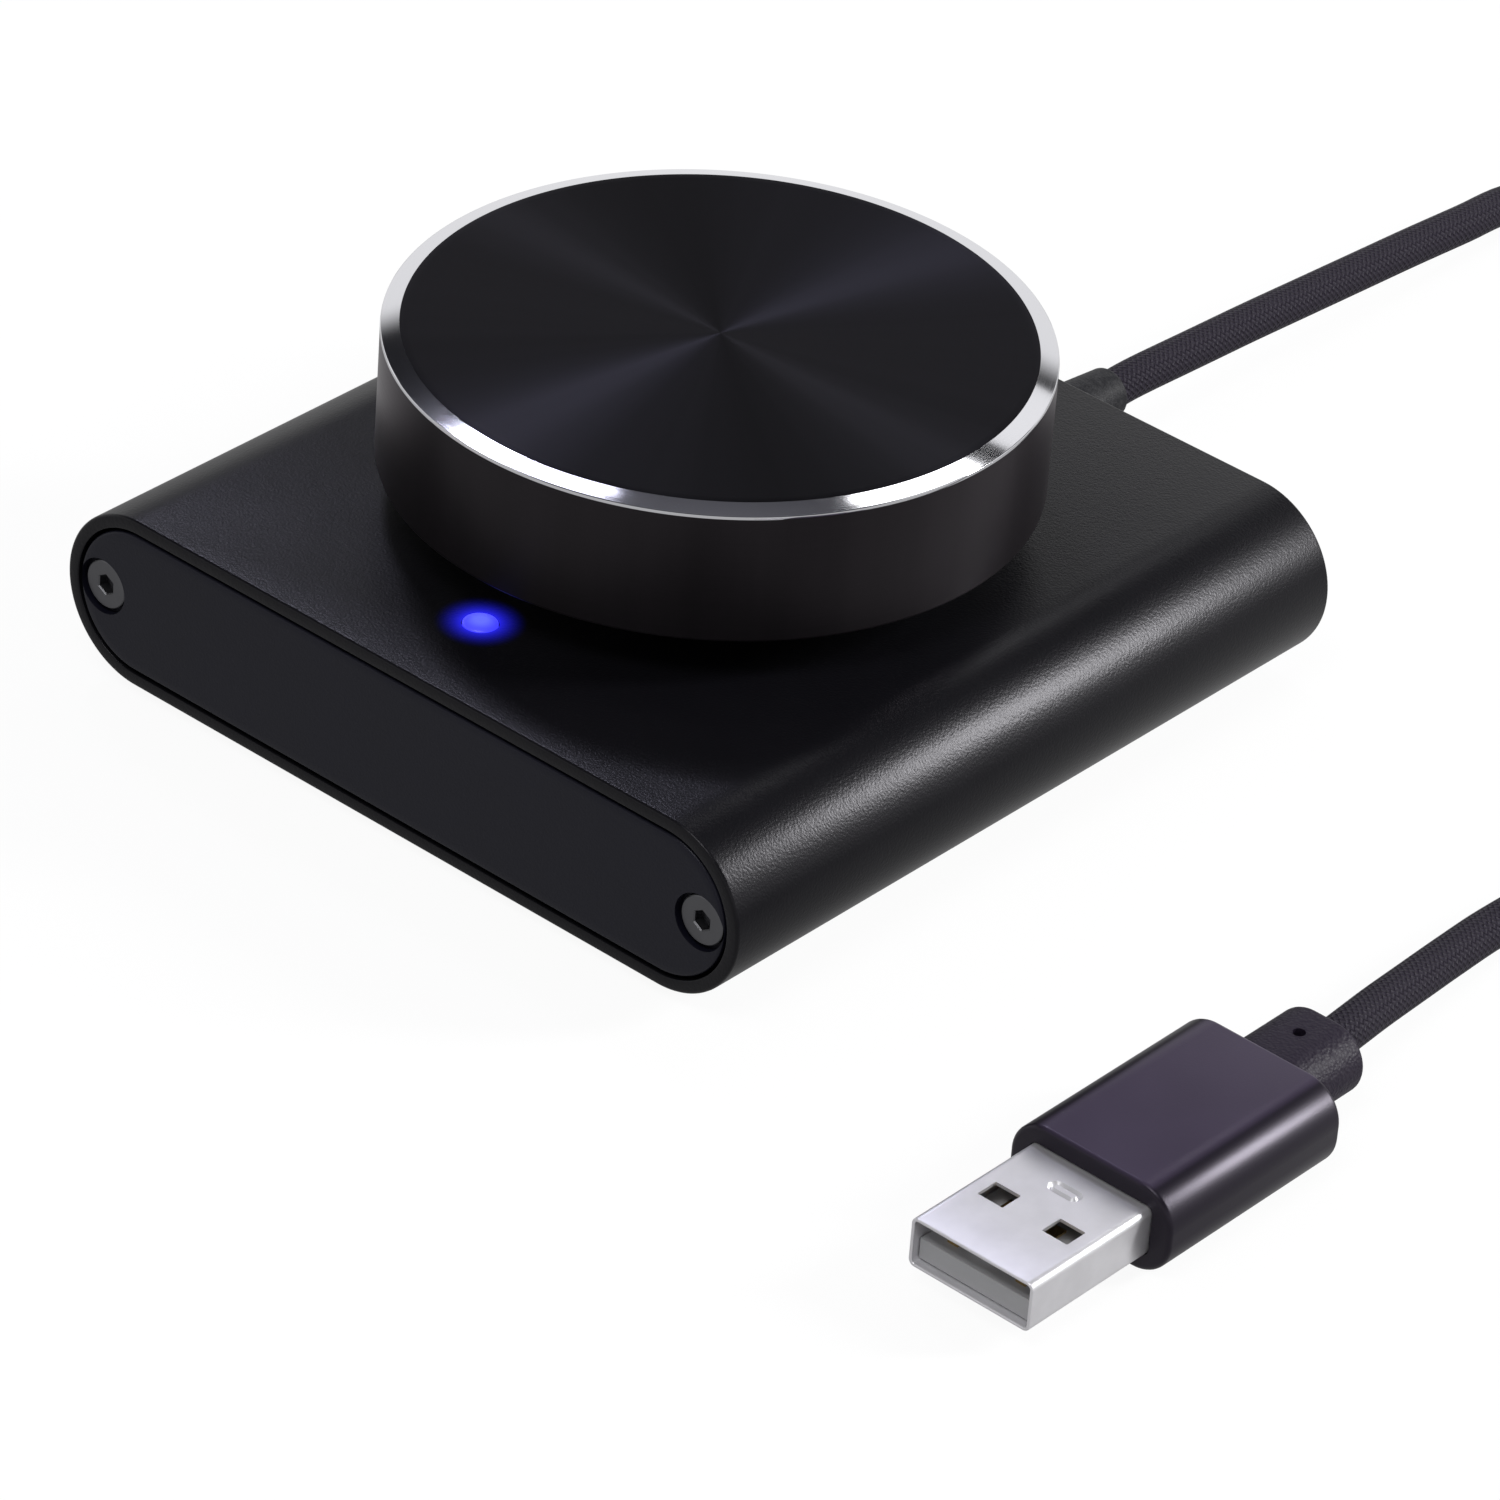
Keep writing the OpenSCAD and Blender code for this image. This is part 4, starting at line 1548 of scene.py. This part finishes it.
@dataclass
class Dial(Assembly):
    """The turned dial: spun top, bright bevel, turned side, hollow underside and hub."""

    radius: float = 28.0
    bottom: float = 21.0
    top: float = 33.3
    bevel_width: float = 1.6
    bevel_drop: float = 0.4
    lip: float = 0.3
    lip_round: float = 0.12
    lip_middle: float = 0.09
    burr: Pair = (0.03, 0.005)
    wall: float = 3.0
    roof: float = 2.2
    hub: float = 6.5
    hub_bottom: float = 22.4
    bore: float = 3.05
    bore_top: float = 27.9
    grub_z: float = 26.75
    grub_hole: float = 1.55
    skirt_radii: Tuple[float, ...] = (0.0, 0.3, 0.2, 0.5, 0.5, 0.2, 0.2, 0.1, 0.0)
    sides: int = 288
    spun: TurnedAnodise = TurnedAnodise(
        (0.009, 0.0088, 0.0115), 0.34, 1.0, anisotropy=0.92, turn=0.25, edge=(0.78, 0.77, 0.8)
    )
    side: TurnedAnodise = TurnedAnodise(
        (0.012, 0.01, 0.012), 0.32, 0.6, anisotropy=0.7, turn=0.25, edge=(0.8, 0.76, 0.8),
        upright=True,
    )
    bevel: DiamondCut = DiamondCut((0.68, 0.68, 0.71), 0.07, 1.0)

    def build(self) -> None:
        """Makes the dial as three turned bands that meet at the bevel's two edges."""
        bands = [self.face(), self.ring(), self.skirt()]
        skins = (Skin(turned(band, self.sides), paint=i) for i, band in enumerate(bands))
        mesh = mesh_from(*skins)
        at = (0, 0, self.grub_z)
        cutters = [drill(self.grub_hole, 2.0, self.radius + 2, 32, Axis.BACK, at)]
        coats = {"spun_top": self.spun, "bright_bevel": self.bevel, "dial_side": self.side}
        self.maker.piece(
            "turned_dial", mesh, coats, ["dial"], "turned_dial", cutters, Body.DIAL, 18.0
        )

    def face(self) -> Array:
        """The flat top's profile: forty radii from the middle to the bevel, all at the top."""
        radius = np.linspace(0, self.radius - self.bevel_width, 40)
        return np.stack([radius, np.full(40, self.top)], 1)

    def ring(self) -> Array:
        """The bright ring's profile.

        Returns:
            The bevel, with a tiny step at its inner edge, a round edge and an upright lip.
        """
        flat, rim = self.radius - self.bevel_width, self.top - self.bevel_drop
        angle = np.linspace(0, math.pi / 2, 5)
        x = self.radius - self.lip_round + self.lip_round * np.sin(angle)
        z = rim - self.lip_middle + self.lip_round * np.cos(angle)
        bend = np.stack([x, z], 1)
        edge = [[flat, self.top], [flat + self.burr[0], self.top - self.burr[1]]]
        return np.concatenate([edge, bend, [[self.radius, rim - self.lip]]])

    def skirt(self) -> Array:
        """The profile of all that is below the bright ring.

        Returns:
            The points down the side, up inside, down the hub and up its bore.
        """
        inner, roof = self.radius - self.wall, self.top - self.roof
        corners = [
            (self.radius, self.top - self.bevel_drop - self.lip), (self.radius, self.bottom),
            (inner, self.bottom), (inner, roof), (self.hub, roof),
            (self.hub, self.hub_bottom), (self.bore, self.hub_bottom),
            (self.bore, self.bore_top), (0.0, self.bore_top),
        ]
        return rounded(corners, self.skirt_radii, 5)


@dataclass
class Indicator(Assembly):
    """The lit lens in front of the dial."""

    radius: float = 1.5
    flange: float = 0.4
    flange_height: float = 0.9
    dome: float = 0.4
    y: float = -27.7
    seat: float = 12.4
    top: float = 17.3

    def build(self) -> None:
        """Makes the lens as a turned body with a flange and a low dome."""
        r, z, wide = self.radius, self.seat, self.radius + self.flange
        step, rim = z + self.flange_height, self.top - self.dome
        foot = [(0.0, z), (wide, z), (wide, step), (r, step), (r, rim)]
        angle = np.linspace(0, math.pi / 2, 12)
        dome = np.stack([r * np.cos(angle), rim + self.dome * np.sin(angle)], 1)
        profile = np.concatenate([foot, dome])
        coats = {"lit_lens": LitLens((0.02, 0.02, 0.3), 0.3, centre_y=self.y, reach_mm=r)}
        mesh = mesh_from(Skin(turned(profile, 48, at=(0, self.y, 0))))
        self.maker.piece("lens", mesh, coats, ["indicator_light"], "blue_light")


# ---- the plug


@dataclass
class Plug(Assembly):
    """The plug: folded metal shell, white tongue with contacts, metal grip, rubber tail."""

    PIECES: ClassVar[Tuple[str, ...]] = (
        "plug_shell_fold", "plug_grip_case", "plug_tail_boot", "plug_tongue", "plug_contacts"
    )
    at: Triple = (74.0, 0.0, 4.0)
    shell_size: Pair = (12.0, 4.5)
    shell_front: float = -51.5
    shell_back: float = -33.0
    grip_size: Pair = (16.0, 8.0)
    grip_front: float = -37.5
    grip_back: float = -16.5
    tail_size: Pair = (8.5, 6.4)
    tail_front: float = -22.4
    tail_back: float = -8.5
    vent: float = 0.55
    sheet: float = 0.3
    shell_round: float = 0.6
    fold_radii: Tuple[float, ...] = (0.1, 0.05, 0.05, 0.1)
    grip_round: float = 3.4
    grip_inset: float = 1.2
    grip_edges: Pair = (0.45, 0.45)
    tail_inset: float = 1.3
    tail_edges: Pair = (0.2, 0.6)
    window_size: Triple = (2.5, 2.2, 0.12)
    window_x: float = 3.2
    window_back: float = 6.9
    stake_size: Triple = (3.1, 1.5, 0.74)
    stake_back: float = 10.9
    stake_depth: float = 0.26
    stake_width: float = 0.5
    vent_back: float = 3.6
    shell: MachinedSteel = MachinedSteel((0.78, 0.77, 0.8), 0.4, 0.75, scratch=(1.0, 0.1, 1.0))
    # The grip's rounded sides are darkened as painted shade.
    grip: BlastedAnodise = BlastedAnodise(
        (0.024, 0.018, 0.033), 0.34, specular=0.28, edge=(0.9, 0.82, 1.0), grain_mm=0.14,
        depth_mm=0.007, shaded_flank=(4.0, 3.7, 3.97),
    )
    tail: MouldedRubber = MouldedRubber(
        (0.011, 0.0075, 0.016), 0.5, specular=0.17, grain_mm=0.3, depth_mm=0.05, dust=0.006
    )
    # The tongue is mid-grey as painted shade: the white plastic darkened to the shade inside
    # the shell's mouth.
    tongue: MouldedPlastic = MouldedPlastic((0.32, 0.32, 0.33), 0.5)
    gold: MachinedSteel = MachinedSteel((0.85, 0.62, 0.28), 0.25, 1.0)

    def level(self, x: float, y: float, size: Triple, z: float) -> Array:
        """A flat loop with round corners.

        Args:
            x: Its middle, to the right of the plug's axis.
            y: Its middle along the axis.
            size: Width, depth and corner radius.
            z: Height above the axis.

        Returns:
            The loop's points.
        """
        flat = round_outline(*size, 6)
        ring = flat.centres + flat.directions * flat.radius
        height = np.full(len(ring), z)
        return np.stack([ring[:, 0] + x, ring[:, 1] + y, height], 1) + self.at

    def window(self, side: int) -> Skin:
        """An upright cutter with round corners, right through the shell.

        Args:
            side: -1 for the left window, 1 for the right.

        Returns:
            The cutter: one loop below the shell and one above it.
        """
        place = (side * self.window_x, self.shell_front + self.window_back)
        loops = [self.level(*place, self.window_size, z) for z in (-4.5, 4.5)]
        return Skin(np.stack(loops), capped=True)

    def stake(self) -> Skin:
        """A cutter for the oval groove with sloping walls that a stake leaves in the sheet.

        Returns:
            The groove's section, carried round the oval.
        """
        surface, wide = self.shell_size[1] / 2, self.stake_width
        slope, low = 0.45 * wide, surface - self.stake_depth
        section = [
            (0.0, surface + 1), (0.0, surface), (slope, low), (wide - slope, low),
            (wide, surface), (wide, surface + 1),
        ]
        y = self.shell_front + self.stake_back
        width, depth, r = self.stake_size
        loops = [
            self.level(0.0, y, (width - 2 * i, depth - 2 * i, r - i), z) for i, z in section
        ]
        return Skin(np.stack(loops), loop_rows=True)

    def pocket(self, size: Pair, spare: float, r: float, steps: int, ends: Pair) -> Skin:
        """A cutter along the plug's axis, a little wider than what goes into it.

        Args:
            size: Width and height of what goes in.
            spare: How much wider and higher the pocket is.
            r: Corner radius.
            steps: Points on each corner.
            ends: The pocket's two ends, as Y.

        Returns:
            The cutter.
        """
        shape = round_outline(size[0] + spare, size[1] + spare, r, steps)
        stations = np.array([[0.0, y] for y in ends])
        return Skin(shape.carried(stations, self.at), capped=True)

    def make_shell(self) -> None:
        """The folded shell: a thin tube with two windows through it and one oval stake mark."""
        shape = round_outline(*self.shell_size, self.shell_round, 8)
        ring = wall(self.shell_front, self.shell_back, self.sheet, self.fold_radii, 4)
        mesh = mesh_from(Skin(shape.carried(ring, self.at), loop_rows=True))
        cutters = [*(self.window(side) for side in SIDES), self.stake()]
        coats, nodes = {"shell_steel": self.shell}, ["plug_shell"]
        self.maker.piece("plug_shell_fold", mesh, coats, nodes, "bright_steel", cutters)

    def make_grip(self) -> None:
        """The metal grip with its rim and the pockets for the shell and the tail."""
        shape = round_outline(*self.grip_size, self.grip_round, 16)
        ends = self.grip_front, self.grip_back
        stations = block(*ends, self.grip_inset, self.grip_edges, 6)
        mesh = mesh_from(Skin(shape.carried(stations, self.at), capped=True))
        mouth = (self.grip_front - 1, self.shell_back + 0.1)
        seat = (self.grip_back - 6, self.grip_back + 1)
        cutters = [
            self.pocket(self.shell_size, 0.2, 0.7, 6, mouth),
            self.pocket(self.tail_size, 0.1, 3.2, 12, seat),
        ]
        coats, nodes = {"grip_anodise": self.grip}, ["plug_grip"]
        self.maker.piece("plug_grip_case", mesh, coats, nodes, "anodised_grip", cutters)

    def make_tail(self) -> None:
        """The rubber tail with its rolled end and its small round vent."""
        height = self.tail_size[1]
        shape = round_outline(*self.tail_size, height / 2 - 0.01, 14)
        ends = self.tail_front, self.tail_back
        stations = block(*ends, self.tail_inset, self.tail_edges, 6)
        mesh = mesh_from(Skin(shape.carried(stations, self.at), capped=True))
        at = (self.at[0], self.tail_back - self.vent_back, self.at[2])
        cutters = [drill(self.vent, height / 2 - 0.8, height / 2 + 2, 32, Axis.UP, at)]
        coats, nodes = {"tail_rubber": self.tail}, ["plug_tail"]
        self.maker.piece("plug_tail_boot", mesh, coats, nodes, "black_rubber", cutters)

    def build(self) -> None:
        """Makes the plug's pieces and dresses the two that keep their shape."""
        self.make_shell()
        self.make_grip()
        self.make_tail()
        self.maker.dress("tongue_plastic", self.tongue, "plug_tongue")
        self.maker.dress("contact_gold", self.gold, "plug_contacts")


# ---- inside


@dataclass
class Inside(Assembly):
    """The circuit board, what is on it, and the rotary encoder: kept shapes, new finishes."""

    board: PrintedBoard = PrintedBoard((0.01, 0.09, 0.035), 0.35)
    black: MouldedPlastic = MouldedPlastic((0.02, 0.02, 0.022), 0.45)
    white: MouldedPlastic = MouldedPlastic((0.78, 0.77, 0.72), 0.45)
    bright: MachinedSteel = MachinedSteel((0.62, 0.62, 0.64), 0.28, 1.0)
    tin: MachinedSteel = MachinedSteel((0.5, 0.5, 0.52), 0.35, 1.0)
    dark: MachinedSteel = MachinedSteel((0.17, 0.17, 0.18), 0.4, 1.0)
    wires: HookupWire = HookupWire((0.35, 0.05, 0.04), 0.4)

    def build(self) -> None:
        """Dresses every inner node."""
        dress = self.maker.dress
        dress("board_lacquer", self.board, "circuit_board")
        dress("black_plastic", self.black, "controller_chip", "resistors", "encoder_case")
        dress("white_plastic", self.white, "board_connector", "encoder_rotor")
        dress(
            "bright_steel", self.bright, "clock_crystal", "encoder_bushing", "encoder_washer",
            "encoder_nut", "switch_dome", "encoder_shaft",
        )
        dress("tinned_metal", self.tin, "encoder_pins", "capacitors", "light_leads")
        dress("grub_steel", self.dark, "dial_grub_screw")
        dress("wire_plastic", self.wires, "lead_wires")


def main() -> None:
    """Builds the studio, the lead and every piece."""
    logging.basicConfig(level=logging.INFO, format="%(name)s: %(message)s")
    maker = Maker()
    studio = Studio()
    studio.camera()
    for assembly in (Plug, Lead, Housing, Dial, Indicator, Inside):
        assembly(maker).build()
    studio.build()


if __name__ == "__main__":
    main()
